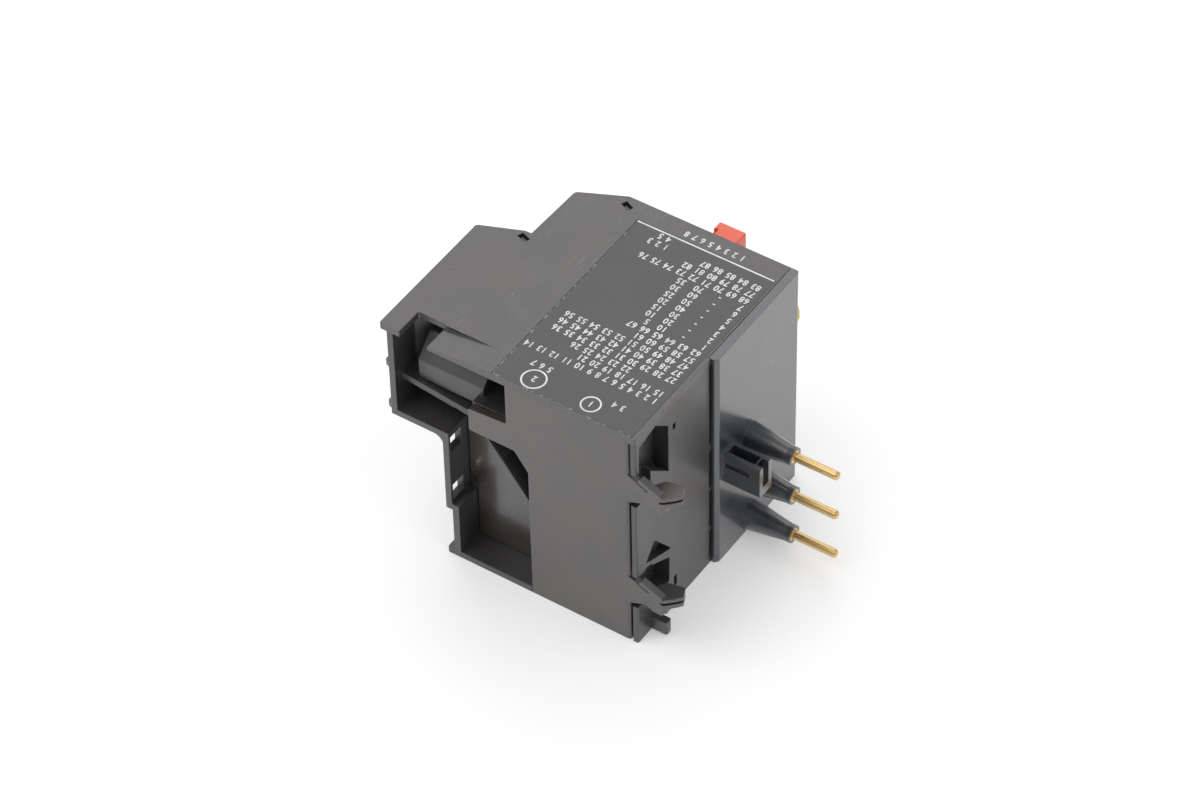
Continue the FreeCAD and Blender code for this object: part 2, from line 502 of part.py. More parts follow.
# ---- Screw terminals --------------------------------------------------------------------------
class Terminal:
    """One screw terminal: bar, clamp plate and screw on an axis along Y."""

    def __init__(self, x, z, bar_y, end_x, inner_x, deck_y, width, load):
        self.x = x
        self.z = z
        self.bar_y = bar_y
        self.end_x = end_x
        self.inner_x = inner_x
        self.deck_y = deck_y
        self.width = width
        self.screw_r = LOAD_SCREW_R if load else AUX_SCREW_R
        self.head_r = LOAD_HEAD_R if load else AUX_HEAD_R
        self.head_h = LOAD_HEAD_H if load else AUX_HEAD_H
        self.opening = LOAD_OPENING if load else AUX_OPENING
        self.travel = LOAD_TRAVEL if load else AUX_TRAVEL
        self.bar_top = bar_y + BAR_T
        self.clamp_y = self.bar_top + self.opening
        self.head_y = self.clamp_y + CLAMP_T + RUN_GAP
        self.screw_end = bar_y - 1.2

    def cavities(self):
        room_z = span(self.z, self.width)
        room = block((self.end_x + WALL, self.x + self.head_r + 1.2),
                     (self.bar_y - FIT_GAP, self.head_y + self.head_h + 0.4), room_z)
        entry = prism_x(rectangle((self.bar_top - 0.2, self.bar_top - 0.2 + WIRE_ENTRY_H),
                                  span(self.z, self.width - 1.2)),
                        (self.end_x - 1.0, self.end_x + WALL + 0.1), 0.5)
        well = rod_y(self.head_r + FREE_GAP, (self.clamp_y, self.deck_y + 4.0), self.x, self.z)
        tip = rod_y(self.screw_r + 0.6 + FREE_GAP,
                    (self.screw_end - self.travel - FREE_GAP, self.bar_y + 0.1), self.x, self.z)
        bar = block((self.end_x + WALL, self.inner_x + FIT_GAP),
                    (self.bar_y - FIT_GAP, self.bar_top + FIT_GAP), span(self.z, self.width - 1.0))
        return [room, entry, well, tip, bar]

    def bar(self):
        body = block((self.end_x + WALL + 0.2, self.inner_x),
                     (self.bar_y, self.bar_top), span(self.z, self.width - 1.4))
        body = soften(body, 0.6, lambda c, e: abs(c.x - self.end_x - WALL - 0.2) < 0.01
                      and abs(e.Length - BAR_T) < 0.01)
        collar = rod_y(self.screw_r + 0.6, (self.bar_y - 0.6, self.bar_y + 0.5), self.x, self.z)
        hole = rod_y(self.screw_r + RUN_GAP, (self.bar_y - 3, self.bar_top + 1), self.x, self.z)
        return body.fuse(collar).cut(hole)

    def clamp(self):
        """Captive plate under the head, with turned-down side lips and a ribbed underside."""
        half = self.width / 2.0 - 0.5
        reach = self.head_r + CLAMP_MARGIN
        lip_y = self.clamp_y - CLAMP_LIP
        outline = [(self.z - half, lip_y), (self.z - half + 0.7, lip_y),
                   (self.z - half + 0.7, self.clamp_y, 0.2), (self.z + half - 0.7, self.clamp_y, 0.2),
                   (self.z + half - 0.7, lip_y), (self.z + half, lip_y),
                   (self.z + half, self.clamp_y + CLAMP_T, 0.4),
                   (self.z - half, self.clamp_y + CLAMP_T, 0.4)]
        wire = rounded_wire(with_radius(outline), lambda p: V(self.x - reach, p.y, p.x))
        body = Part.Face(wire).extrude(V(2 * reach, 0, 0))
        hole = rod_y(self.screw_r + RUN_GAP, (self.clamp_y - 2, self.head_y + 1), self.x, self.z)
        return body.cut(hole)

    def screw(self):
        """Pan head with a slot and cross recess, and a plain shank with a chamfered end."""
        top = self.head_y + self.head_h
        rim = self.head_h * 0.35
        section = [V(0, self.screw_end, 0), V(self.screw_r - 0.4, self.screw_end, 0),
                   V(self.screw_r, self.screw_end + 0.4, 0), V(self.screw_r, self.head_y, 0),
                   V(self.head_r, self.head_y, 0), V(self.head_r, top - rim, 0),
                   V(self.head_r * 0.72, top, 0), V(0, top, 0), V(0, self.screw_end, 0)]
        profile = Part.Face(Part.makePolygon(section))
        body = profile.revolve(V(0, 0, 0), V(0, 1, 0), 360)
        body.translate(V(self.x, 0, self.z))
        slot = block(span(self.x, 2 * self.head_r + 1), (top - SLOT_H, top + 1), span(self.z, SLOT_W))
        cross = block(span(self.x, SLOT_W), (top - SLOT_H, top + 1), span(self.z, self.head_r * 1.1))
        return body.cut([slot, cross])


def load_sites():
    width = POLE_PITCH - RIB - 0.6
    return [Terminal(LOAD_SCREW_X, pole_z(p) + (0.3 if p == 0 else 0.0), LOAD_BAR_Y, LOAD_END_X,
                     CHAMBER_X + 2.0, LOAD_DECK_Y, width - (0.8 if p == 0 else 0.0), True)
            for p in range(POLES)]


def aux_sites():
    """Upper tier then lower tier, column by column."""
    sites = []
    width = AUX_PITCH - RIB - 0.8
    for column in range(AUX_COLUMNS):
        z = aux_z(column)
        sites.append(Terminal(UPPER_SCREW_X, z, UPPER_BAR_Y, UPPER_DECK_X - 0.4, LEAF_ROOT_X + 2.0,
                              UPPER_DECK_Y, width, False))
        sites.append(Terminal(LOWER_SCREW_X, z, LOWER_BAR_Y, AUX_END_X, LEAF_ROOT_X + 2.0,
                              LOWER_DECK_Y, width, False))
    return sites


# ---- Plates of the housing --------------------------------------------------------------------
def side_cover():
    """Flat cover over the mechanism, notched over the upper rear pocket."""
    inner_x = CARRIER_FACE_X - CARRIER_T - FIT_GAP
    outline = [
        (CONTACTOR_FACE_X, 0.0, 0.3),
        (CONTACTOR_FACE_X, CARRIER_STEP_Y - FIT_GAP, 0.0),
        (inner_x, CARRIER_STEP_Y - FIT_GAP, 0.0),
        (inner_x, DEPTH, 0.0),
        (FRONT_TOP_X, DEPTH, 0.8),
        (UPPER_DECK_X, UPPER_DECK_Y, 0.9),
        (UPPER_DECK_X - 0.4, LOWER_DECK_Y, 0.3),
        (UPPER_DECK_X - 1.5, LOWER_DECK_Y, 0.3),
        (AUX_TIP_X, LOWER_DECK_END_Y - 0.3, 0.6),
        (AUX_TIP_X, 0.0, 0.3),
        (COVER_NOTCH[0], 0.0, 0.3),
        (COVER_NOTCH[0], COVER_NOTCH_Y, 0.3),
        (COVER_NOTCH[1], COVER_NOTCH_Y, 0.3),
        (COVER_NOTCH[1], 0.0, 0.2),
    ]
    plate = prism_z(outline, (COVER_Z, WIDTH))
    windows = [prism_z(snap_window(x, y, turn, 0.0), (COVER_Z - 1, WIDTH + 1))
               for x, y, turn in SNAP_SITES]
    pin_hole = rod_z(0.55, (COVER_Z - 1, WIDTH + 1), inner_x - 0.9, 34.8)
    panel = prism_y([(COVER_NOTCH[1] - 1.0, WIDTH - PANEL_DROP), (PANEL_END_X, WIDTH),
                     (COVER_NOTCH[1] - 1.0, WIDTH)], (-1.0, COVER_NOTCH_Y - 0.2))
    label = block(LABEL_X, LABEL_Y, (WIDTH - LABEL_SEAT, WIDTH + 1))
    plate = plate.cut(windows + [pin_hole, panel, label])
    pegs = [rod_z(PEG_R, (COVER_Z - PEG_H, COVER_Z), x, y) for x, y in PEG_SITES]
    lugs = [latch_lug(x_span) for x_span in latch_lug_spans()]
    return fuse([plate] + pegs + lugs)


def snap_window(x, y, turn, inset):
    """Parallelogram window of the cover's snap, or the tongue inside it when inset."""
    along = SNAP_W / 2.0 - inset
    across = SNAP_H / 2.0 - inset
    cosine, sine = math.cos(math.radians(turn)), math.sin(math.radians(turn))
    corners = [(-along, -across), (along, -across), (along, across), (-along, across)]
    return [(x + u * cosine - v * sine, y + u * sine + v * cosine) for u, v in corners]


def front_cover():
    """Front plate with the openings for dial, buttons and trip flag."""
    right = CARRIER_FACE_X - CARRIER_T - FIT_GAP
    aux_left = FRONT_TOP_X + 0.4 + FIT_GAP
    load_left = LOAD_DECK_X + WALL + FIT_GAP
    step_z = LOAD_WIDTH + WALL + FIT_GAP
    plate = prism_y([(right, 0.0, 0.3), (right, COVER_Z), (aux_left, COVER_Z), (aux_left, step_z),
                     (load_left, step_z), (load_left, 0.0, 0.3)], (FRONT_PLATE_Y, DEPTH))
    back = FRONT_PLATE_Y - GUIDE_T
    solids = [plate, rod_y(DIAL_SHAFT_R + WALL, (back, FRONT_PLATE_Y), DIAL_X, DIAL_Z)]
    stop_half = STOP_W / 2.0 + RUN_GAP
    frame_low = STOP_SHELF_Y - GUIDE_T
    stop_frame = prism_y(rectangle(span(STOP_X, 2 * (stop_half + 0.5 + RIB)),
                                   span(STOP_Z, 2 * (stop_half + RIB))),
                         (frame_low, FRONT_PLATE_Y), 0.6)
    reset_frame = rod_y(RESET_R + 0.4 + RIB, (frame_low, FRONT_PLATE_Y), RESET_X, RESET_Z)
    body = fuse(solids + [stop_frame, reset_frame])
    recess = rod_y(DIAL_R + FREE_GAP, (DEPTH - DIAL_SEAT, DEPTH + 1), DIAL_X, DIAL_Z)
    shaft = rod_y(DIAL_SHAFT_R + RUN_GAP, (back - 1, DEPTH), DIAL_X, DIAL_Z)
    stop_hole = block(span(STOP_X, 2 * (stop_half + 0.1)), (FRONT_PLATE_Y - 1, DEPTH + 1),
                      span(STOP_Z, 2 * (stop_half + 0.1)))
    stop_room = block(span(STOP_X, 2 * (stop_half + 0.5)), (STOP_SHELF_Y, FRONT_PLATE_Y),
                      span(STOP_Z, 2 * (stop_half + 0.1)))
    stop_stem = rod_y(STEM_R + RUN_GAP, (frame_low - 1, STOP_SHELF_Y + 1), STOP_X, STOP_Z)
    reset_hole = rod_y(RESET_R + RUN_GAP, (FRONT_PLATE_Y - 1, DEPTH + 1), RESET_X, RESET_Z)
    reset_room = rod_y(RESET_R + 0.4 + RUN_GAP, (STOP_SHELF_Y, FRONT_PLATE_Y), RESET_X, RESET_Z)
    reset_stem = rod_y(STEM_R + RUN_GAP, (frame_low - 1, STOP_SHELF_Y + 1), RESET_X, RESET_Z)
    flag = prism_y(rectangle(span(FLAG_X, FLAG_W + 2 * FREE_GAP), span(FLAG_Z, FLAG_H + 2 * FREE_GAP)),
                   (back, DEPTH + 1), 0.4)
    return body.cut([recess, shaft, stop_hole, stop_room, stop_stem, reset_hole, reset_room,
                     reset_stem, flag])


def latch_plate_outline(grow, edge_gap):
    """Outline of the rear latch plate in XZ, or of its seat when grown."""
    return [(edge_gap, -grow), (edge_gap, COVER_Z + grow), (UPPER_POCKET_X - grow, COVER_Z + grow),
            (UPPER_POCKET_X - grow, LATCH_TAB_TOP_Z + grow, 0.3),
            (LATCH_TAB_X - grow, LATCH_TAB_TOP_Z - 0.5 + grow, 0.4),
            (LATCH_TAB_X - grow, LATCH_TAB_Z - grow, 0.4),
            (LATCH_PLATE_X - 2.5 - grow, LATCH_TAB_Z - grow, 0.6),
            (LATCH_PLATE_X - grow, RAMP_END_Z + 6.3 - grow, 0.6), (LATCH_PLATE_X - grow, -grow)]


def rear_latch_plate():
    """Closing plate of the pole chambers; its two spring hooks grip the contactor."""
    plate = prism_y(latch_plate_outline(0.0, 0.0), (0.0, LATCH_PLATE_T))
    plate = soften(plate, 0.7, lambda c, e: abs(c.x) < 0.01 and abs(c.y) < 0.01)
    return fuse([plate] + [spring_hook(z) for z in HOOK_SITES])


def spring_hook(z):
    """Spring arm with a back-swept finger and a barbed, slit head; z is its centre height."""
    head_x = HOOK_ARM_X + 0.2
    arm = prism_y([(-1.5, z - 3.2), (0.3, z - 2.6), (head_x, z - 1.4), (head_x + 2.2, z - 1.4),
                   (head_x + 2.2, z + 0.8), (head_x, z + 1.2), (0.3, z + 2.7), (-1.5, z + 3.4)],
                  (0.0, LATCH_PLATE_T))
    finger = prism_y([(HOOK_ARM_X - 1.5, z + 2.3, 0.2), (HOOK_ARM_X - 1.2, z + 3.1, 0.2),
                      (HOOK_ARM_X + 2.8, z + 1.3, 0.3), (HOOK_ARM_X + 2.4, z + 0.2), (head_x - 0.2, z + 0.7),
                      (HOOK_ARM_X + 0.4, z + 1.4)], (0.0, LATCH_PLATE_T))
    barb = [(head_x, 0.0), (head_x + 2.7, 0.0, 0.3), (HOOK_TIP_X - 0.3, 1.3, 0.4),
            (HOOK_TIP_X + 0.6, 2.4, 0.4), (HOOK_TIP_X - 0.2, 4.2, 0.4), (HOOK_ARM_X + 1.4, 3.6, 0.5),
            (head_x, 1.8)]
    head = prism_z(barb, (z - 1.9, z + 1.1))
    slit = block((HOOK_ARM_X + 1.8, HOOK_TIP_X + 2.0), (-1.0, 6.0), (z - 0.1, z + 0.4))
    step = block((HOOK_TIP_X - 1.2, HOOK_TIP_X + 2.0), (-1.0, 6.0), (z - 2.5, z - 0.9))
    heel = prism_z([(head_x + 0.4, 0.3), (head_x + 2.4, 0.3), (head_x + 2.4, 2.6, 0.3),
                    (head_x + 0.4, 2.6, 0.3)], (z - 2.8, z - 1.8))
    return fuse([arm, finger, head.cut([slit, step]), heel])


# ---- Pin carrier and the current path ----------------------------------------------------------
def pin_carrier():
    """Front part of the contactor-side wall with the pin bosses and the locating prong."""
    back_x = CARRIER_FACE_X - CARRIER_T
    outline = [(back_x, CARRIER_STEP_Y), (CARRIER_FACE_X - 0.5, CARRIER_STEP_Y, 0.2),
               (CARRIER_FACE_X, CARRIER_STEP_Y + 0.7, 0.3), (CARRIER_FACE_X, DEPTH, 0.5),
               (back_x, DEPTH)]
    plate = prism_z(outline, (0.0, WIDTH))
    tongue = prism_x(rectangle((CARRIER_STEP_Y + 1.0, FRONT_PLATE_Y - 0.6), (WALL + 0.3, COVER_Z - 0.3)),
                     (back_x - TONGUE_T, back_x), 0.8)
    window = prism_x(rectangle((CARRIER_STEP_Y + 2.2, FRONT_PLATE_Y - 1.8), (WALL + 1.4, COVER_Z - 1.5)),
                     (back_x - 2.0, back_x), 0.8)
    solids = [plate, tongue.cut(window)]
    holes = []
    for pole in range(POLES):
        solids.append(pin_boss(pole_z(pole)))
        solids.append(rod_x(PIN_R + WALL, (back_x - 2.2, back_x), PIN_Y, pole_z(pole)))
        holes.append(rod_x(PIN_R + PIN_SHOULDER + SEAT_GAP, (back_x - 4, BOSS_END_X + 1),
                           PIN_Y, pole_z(pole)))
    solids.append(locating_prong())
    return fuse(solids).cut(holes)


def pin_boss(z):
    """Tapered boss lofted from an oval root to a round end."""
    root = Part.Ellipse(V(0, 0, 0), BOSS_ROOT_Z / 2.0, BOSS_ROOT_Y / 2.0).toShape()
    root.rotate(V(0, 0, 0), V(0, 1, 0), -90)
    root.translate(V(CARRIER_FACE_X - 0.3, PIN_Y + 0.4, z - BOSS_SLANT))
    neck = Part.Circle(V(BOSS_END_X - 1.0, PIN_Y, z), V(1, 0, 0), BOSS_END_R).toShape()
    cone = Part.makeLoft([Part.Wire(root), Part.Wire(neck)], True, True)
    nose = rod_x(BOSS_END_R, (BOSS_END_X - 1.0, BOSS_END_X), PIN_Y, z)
    return cone.fuse(nose)


def locating_prong():
    """Hollow channel with an open slot along its top and a forked end."""
    low, high = PRONG_Z, PRONG_Z + PRONG_H
    near, far = PRONG_Y, PRONG_Y + PRONG_W
    body = prism_x([(near, low, 0.3), (far, low, 0.3), (far, high, 0.3), (near, high, 0.3)],
                   (CARRIER_FACE_X - 0.3, PRONG_END_X))
    slot = block((CARRIER_FACE_X + 0.5, PRONG_END_X - 1.4), (near + 0.8, far - 0.8), (low + 0.9, high + 1))
    groove = block((CARRIER_FACE_X + 0.5, PRONG_END_X - 2.0), (near - 1, near + 0.4), (high - 2.7, high - 1.5))
    fork = prism_y([(PRONG_END_X + 1, low + 1.7), (PRONG_END_X + 1, high + 1),
                    (PRONG_END_X - 1.0, high + 1), (PRONG_END_X - 1.6, high - 1.6, 0.3),
                    (PRONG_END_X - 0.7, low + 1.7, 0.3)], (near + 0.9, far - 0.9))
    return body.cut([slot, groove, fork])


def contact_pin(pole):
    """Round pin with a rounded end, collar and a flat tail beside the heater winding."""
    z = pole_z(pole)
    back_x = CARRIER_FACE_X - CARRIER_T - 2.2
    tail_x = BIMETAL_X + BIMETAL_W / 2.0 + SLEEVE_T + WINDING_WIRE + FREE_GAP
    seat = rod_x(PIN_R + PIN_SHOULDER, (tail_x + 1.3, BOSS_END_X), PIN_Y, z)
    shaft = rod_x(PIN_R, (BOSS_END_X, PIN_TIP_X), PIN_Y, z)
    shaft = soften(shaft, PIN_TIP_R, lambda c, e: abs(c.x - PIN_TIP_X) < 0.01)
    collar = rod_x(PIN_R + 0.6, (back_x - 0.9, back_x - RUN_GAP), PIN_Y, z)
    tail = prism_z([(tail_x, WINDING_Y - 1.0, 0.4), (tail_x + 2.6, WINDING_Y - 1.0, 0.8),
                    (tail_x + 2.6, PIN_Y + 1.4, 0.8), (tail_x, PIN_Y + 1.4, 0.8)],
                   span(z, BIMETAL_T))
    return fuse([shaft, seat, collar, tail])


def bimetal_strip(pole):
    """Tapered two-layer strip with a narrowed foot that the carrier holds."""
    low, high = bimetal_z(pole)
    half = BIMETAL_W / 2.0
    return prism_z([(BIMETAL_X - half + 0.6, BIMETAL_FOOT_Y, 0.3), (BIMETAL_X + half - 0.6, BIMETAL_FOOT_Y, 0.3),
                    (BIMETAL_X + half, WINDING_Y - 1.6, 0.5), (BIMETAL_X + half, WINDING_END_Y, 0.5),
                    (BIMETAL_X + half - 0.8, BIMETAL_TIP_Y, 0.4), (BIMETAL_X - half + 0.8, BIMETAL_TIP_Y, 0.4),
                    (BIMETAL_X - half, WINDING_END_Y, 0.5), (BIMETAL_X - half, WINDING_Y - 1.6, 0.5)],
                   (low, high))


def bimetal_z(pole):
    return span(pole_z(pole) + 0.2, BIMETAL_T)


def heater_winding(pole):
    """Insulating sleeve round the strip with evenly spaced turns of flat heating wire."""
    low, high = bimetal_z(pole)
    half = BIMETAL_W / 2.0

    def ring(grow, y_span):
        return block((BIMETAL_X - half - grow, BIMETAL_X + half + grow), y_span, (low - grow, high + grow))

    pitch = WINDING_LENGTH / WINDING_TURNS
    turns = [ring(SLEEVE_T + WINDING_WIRE * 0.8, span(WINDING_Y + (turn + 0.5) * pitch, pitch * 0.55))
             for turn in range(WINDING_TURNS)]
    sleeve = ring(SLEEVE_T, (WINDING_Y, WINDING_END_Y))
    strip_room = prism_y(rectangle(span(BIMETAL_X, BIMETAL_W + 0.04), (low - 0.02, high + 0.02)),
                         (WINDING_Y - 1, WINDING_END_Y + 1))
    return fuse([sleeve] + turns).cut(strip_room)


def bimetal_carrier():
    """Insulating comb that holds the feet of the three strips at the back."""
    half = BIMETAL_W / 2.0
    low_y = REAR_WALL_Y + WALL + 0.05
    solids = []
    for pole in range(POLES):
        low, high = bimetal_z(pole)
        floor = (WALL if pole == 0 else pole_z(pole) - POLE_PITCH / 2.0 + RIB / 2.0) + 0.1
        roof = pole_z(pole) + POLE_PITCH / 2.0 - RIB / 2.0 - 0.1
        foot = prism_z([(BIMETAL_X - half - 2.0, low_y, 0.5), (BIMETAL_X + half + 2.0, low_y, 0.5),
                        (BIMETAL_X + half + 1.0, BIMETAL_PIVOT_Y + 1.6, 0.5),
                        (BIMETAL_X - half - 1.0, BIMETAL_PIVOT_Y + 1.6, 0.5)], (floor, roof))
        slot = block(span(BIMETAL_X, BIMETAL_W + 0.4), (BIMETAL_FOOT_Y - 0.2, BIMETAL_PIVOT_Y + 3),
                     (low - 0.15, high + 0.15))
        solids.append(foot.cut(slot))
    return solids


# ---- Trip mechanism ------------------------------------------------------------------------------
def trip_slider():
    """Slider that the strips push towards the mechanism, one finger per strip."""
    low_z = bimetal_z(0)[0] - 1.6
    half = SLIDER_W / 2.0
    plate = prism_y([(BIMETAL_X - half, low_z, 0.6), (BIMETAL_X + half, low_z, 0.6),
                     (BIMETAL_X + half, LOAD_WIDTH, 0.6), (BIMETAL_X + 1.8, LOAD_WIDTH + 1.4, 0.4),
                     (BIMETAL_X + 1.8, SLIDER_END_Z - 0.8, 0.6), (BIMETAL_X - 1.8, SLIDER_END_Z - 0.8, 0.6),
                     (BIMETAL_X - 1.8, LOAD_WIDTH + 1.4, 0.4), (BIMETAL_X - half, LOAD_WIDTH, 0.6)],
                    (SLIDER_Y, SLIDER_Y + SLIDER_T))
    fingers = []
    windows = []
    for pole in range(POLES):
        low, high = bimetal_z(pole)
        fingers.append(block(span(BIMETAL_X, 3.6), (BIMETAL_TIP_Y - 1.6, SLIDER_Y),
                             (high + 0.15, high + 0.95)))
        windows.append(prism_y(rectangle(span(BIMETAL_X, 4.2), (low - 1.3, low + 0.1)),
                               (SLIDER_Y - 1, SLIDER_Y + 2), 0.2))
    stud = rod_y(PIVOT_R, (SLIDER_Y + SLIDER_T, LEVER_Y + LEVER_T + 0.3), BIMETAL_X, LEVER_Z)
    return fuse([plate.cut(windows), stud] + fingers)


def differential_slider():
    """Second slider, pulled back by the strip that stays cold when a phase is lost."""
    low_z = bimetal_z(0)[0] - 1.4
    half = SLIDER_W / 2.0 - 0.5
    y = SLIDER_Y + SLIDER_T + FREE_GAP / 2.0
    plate = prism_y([(BIMETAL_X - half, low_z, 0.6), (BIMETAL_X + half, low_z, 0.6),
                     (BIMETAL_X + half, LOAD_WIDTH, 0.6), (BIMETAL_X + 1.8, LOAD_WIDTH + 1.4, 0.4),
                     (BIMETAL_X + 1.8, SLIDER_END_Z - 0.4, 0.5), (BIMETAL_X - 1.8, SLIDER_END_Z - 0.4, 0.5),
                     (BIMETAL_X - 1.8, LOAD_WIDTH + 1.4, 0.4), (BIMETAL_X - half, LOAD_WIDTH, 0.6)],
                    (y, y + SLIDER_T))
    slot = prism_y(rectangle(span(BIMETAL_X, 2 * (PIVOT_R + 0.3)), span(LEVER_Z, 2 * (PIVOT_R + 0.5))),
                   (y - 1, y + 2), 0.5)
    fingers = [block(span(BIMETAL_X, 3.6), (BIMETAL_TIP_Y - 1.6, y),
                     (bimetal_z(pole)[0] - 1.0, bimetal_z(pole)[0] - 0.15)) for pole in range(POLES)]
    return fuse([plate.cut(slot)] + fingers)


def differential_lever():
    """Small lever on the trip slider's stud that adds up the two sliders."""
    points = [(BIMETAL_X - 1.9, LEVER_Z - 1.4, 0.8), (BIMETAL_X + 1.9, LEVER_Z - 1.4, 0.8),
              (BIMETAL_X + 2.3, LEVER_Z + 2.0, 0.5), (BIMETAL_X + 0.7, LEVER_Z + 2.0, 0.5),
              (BIMETAL_X - 1.9, LEVER_Z + 1.3, 0.8)]
    body = prism_y(points, (LEVER_Y, LEVER_Y + LEVER_T))
    return body.cut(rod_y(PIVOT_R + RUN_GAP, (LEVER_Y - 1, LEVER_Y + 3), BIMETAL_X, LEVER_Z))


def compensation_lever():
    """Two-armed lever: the long arm meets the sliders, the short one releases the latch."""
    z = COMP_PIVOT_Z
    pivot = rod_x(PIVOT_R, (COMP_X[0] - 1.1, COMP_X[1] + 1.1), COMP_PIVOT_Y, z)
    sleeve = rod_x(PIVOT_R + 0.7, COMP_X, COMP_PIVOT_Y, z)
    tip = (BIMETAL_X + 0.8, BIMETAL_X + 2.2)
    arm = prism_z([(COMP_X[0] + 0.4, COMP_PIVOT_Y), (COMP_X[0] + 3.4, COMP_PIVOT_Y),
                   (COMP_X[0] + 3.0, COMP_PIVOT_Y + 6.0, 1.0), (tip[1], COMP_PIVOT_Y + 9.0, 1.0),
                   (tip[1], LEVER_Y + LEVER_T, 0.4), (tip[0], LEVER_Y + LEVER_T, 0.4),
                   (tip[0], COMP_PIVOT_Y + 7.0, 1.0), (COMP_X[0] + 0.4, COMP_PIVOT_Y + 3.0, 0.8)],
                  (z - 0.1, z + 0.6))
    finger = prism_x([(COMP_PIVOT_Y - 0.5, z), (COMP_PIVOT_Y + 0.5, z), (COMP_PIVOT_Y + 0.4, COMP_ARM_Z, 0.3),
                      (COMP_PIVOT_Y - 1.3, COMP_ARM_Z, 0.4), (COMP_PIVOT_Y - 1.3, COMP_ARM_Z - 1.0, 0.3)],
                     (COMP_X[0] + 2.0, COMP_X[0] + 4.4))
    return fuse([pivot, sleeve, arm, finger])


def comp_posts():
    """Bearing posts of the compensation lever, standing on the chamber floor."""
    floor = LOAD_WIDTH + WALL - 0.5
    posts = []
    for x_span in ((COMP_X[0] - 1.1, COMP_X[0] - 0.3), (COMP_X[1] + 0.3, COMP_X[1] + 1.1)):
        post = prism_x([(COMP_PIVOT_Y - 1.8, floor), (COMP_PIVOT_Y + 1.8, floor),
                        (COMP_PIVOT_Y + 1.5, COMP_PIVOT_Z + 1.4, 1.0),
                        (COMP_PIVOT_Y - 1.5, COMP_PIVOT_Z + 1.4, 1.0)], x_span)
        posts.append(post)
    hole = rod_x(PIVOT_R + RUN_GAP, (COMP_X[0] - 1.2, COMP_X[1] + 1.2), COMP_PIVOT_Y, COMP_PIVOT_Z)
    return [post.cut(hole) for post in posts]


def latch_lug_spans():
    return ((COMP_X[0] - 1.1, COMP_X[0] - 0.3), (COMP_X[1] + 0.3, COMP_X[1] + 1.1))


def latch_lug(x_span):
    """Bearing lug of the trip latch, hanging from the side cover."""
    lug = prism_x([(LATCH_Y - 1.8, COVER_Z + 0.1), (LATCH_Y + 1.8, COVER_Z + 0.1),
                   (LATCH_Y + 1.4, LATCH_PIVOT_Z - 1.5, 1.0), (LATCH_Y - 1.4, LATCH_PIVOT_Z - 1.5, 1.0)],
                  x_span)
    return lug.cut(rod_x(PIVOT_R + RUN_GAP, (x_span[0] - 1, x_span[1] + 1), LATCH_Y, LATCH_PIVOT_Z))


def trip_latch():
    """Latch that the compensation lever swings away from the contact carrier."""
    pivot = rod_x(PIVOT_R, (COMP_X[0] - 1.1, COMP_X[1] + 1.1), LATCH_Y, LATCH_PIVOT_Z)
    sleeve = rod_x(PIVOT_R + 0.7, COMP_X, LATCH_Y, LATCH_PIVOT_Z)
    arm = prism_x([(LATCH_Y - 0.5, LATCH_PIVOT_Z), (LATCH_Y + 0.5, LATCH_PIVOT_Z),
                   (LATCH_Y + 0.4, COMP_ARM_Z - 1.0, 0.3), (LATCH_Y - 0.4, COMP_ARM_Z - 1.0, 0.3)],
                  (COMP_X[0] + 1.6, COMP_X[0] + 4.8))
    hold = prism_z([(COMP_X[0] + 0.2, LATCH_Y), (COMP_X[0] + 2.6, LATCH_Y),
                    (COMP_X[0] + 1.8, LATCH_Y + 6.4, 0.4), (COMP_X[0] - 1.0, LATCH_Y + 6.4, 0.4),
                    (COMP_X[0] - 1.0, LATCH_Y + 4.6, 0.4), (COMP_X[0] + 0.2, LATCH_Y + 3.6, 0.4)],
                   (LATCH_PIVOT_Z - 0.4, LATCH_PIVOT_Z + 0.5))
    return fuse([pivot, sleeve, arm, hold])


def setting_lever():
    """Lever that follows the dial's snail cam."""
    pivot_x, pivot_z = SETTING_PIVOT
    foot_z = DIAL_Z + CAM_R + CAM_RISE / 2.0 + FREE_GAP + SETTING_FOOT_R
    y_span = (CAM_Y, CAM_Y + CAM_T)
    boss = rod_y(SETTING_FOOT_R + 0.5, y_span, pivot_x, pivot_z)
    foot = rod_y(SETTING_FOOT_R, y_span, DIAL_X, foot_z)
    arm = prism_y([(pivot_x, pivot_z - 0.7), (DIAL_X, foot_z - 0.2), (DIAL_X + 2.6, foot_z + 0.9, 0.4),
                   (DIAL_X + 2.4, foot_z + 2.0, 0.4), (pivot_x, pivot_z + 1.2)], y_span)
    hole = rod_y(PIVOT_R + RUN_GAP, (CAM_Y - 1, CAM_Y + CAM_T + 1), pivot_x, pivot_z)
    return fuse([boss, foot, arm]).cut(hole)


def setting_pivot():
    """Pivot stud of the setting lever on the back of the front cover."""
    pivot_x, pivot_z = SETTING_PIVOT
    return [rod_y(PIVOT_R, (CAM_Y - 0.4, FRONT_PLATE_Y), pivot_x, pivot_z)]


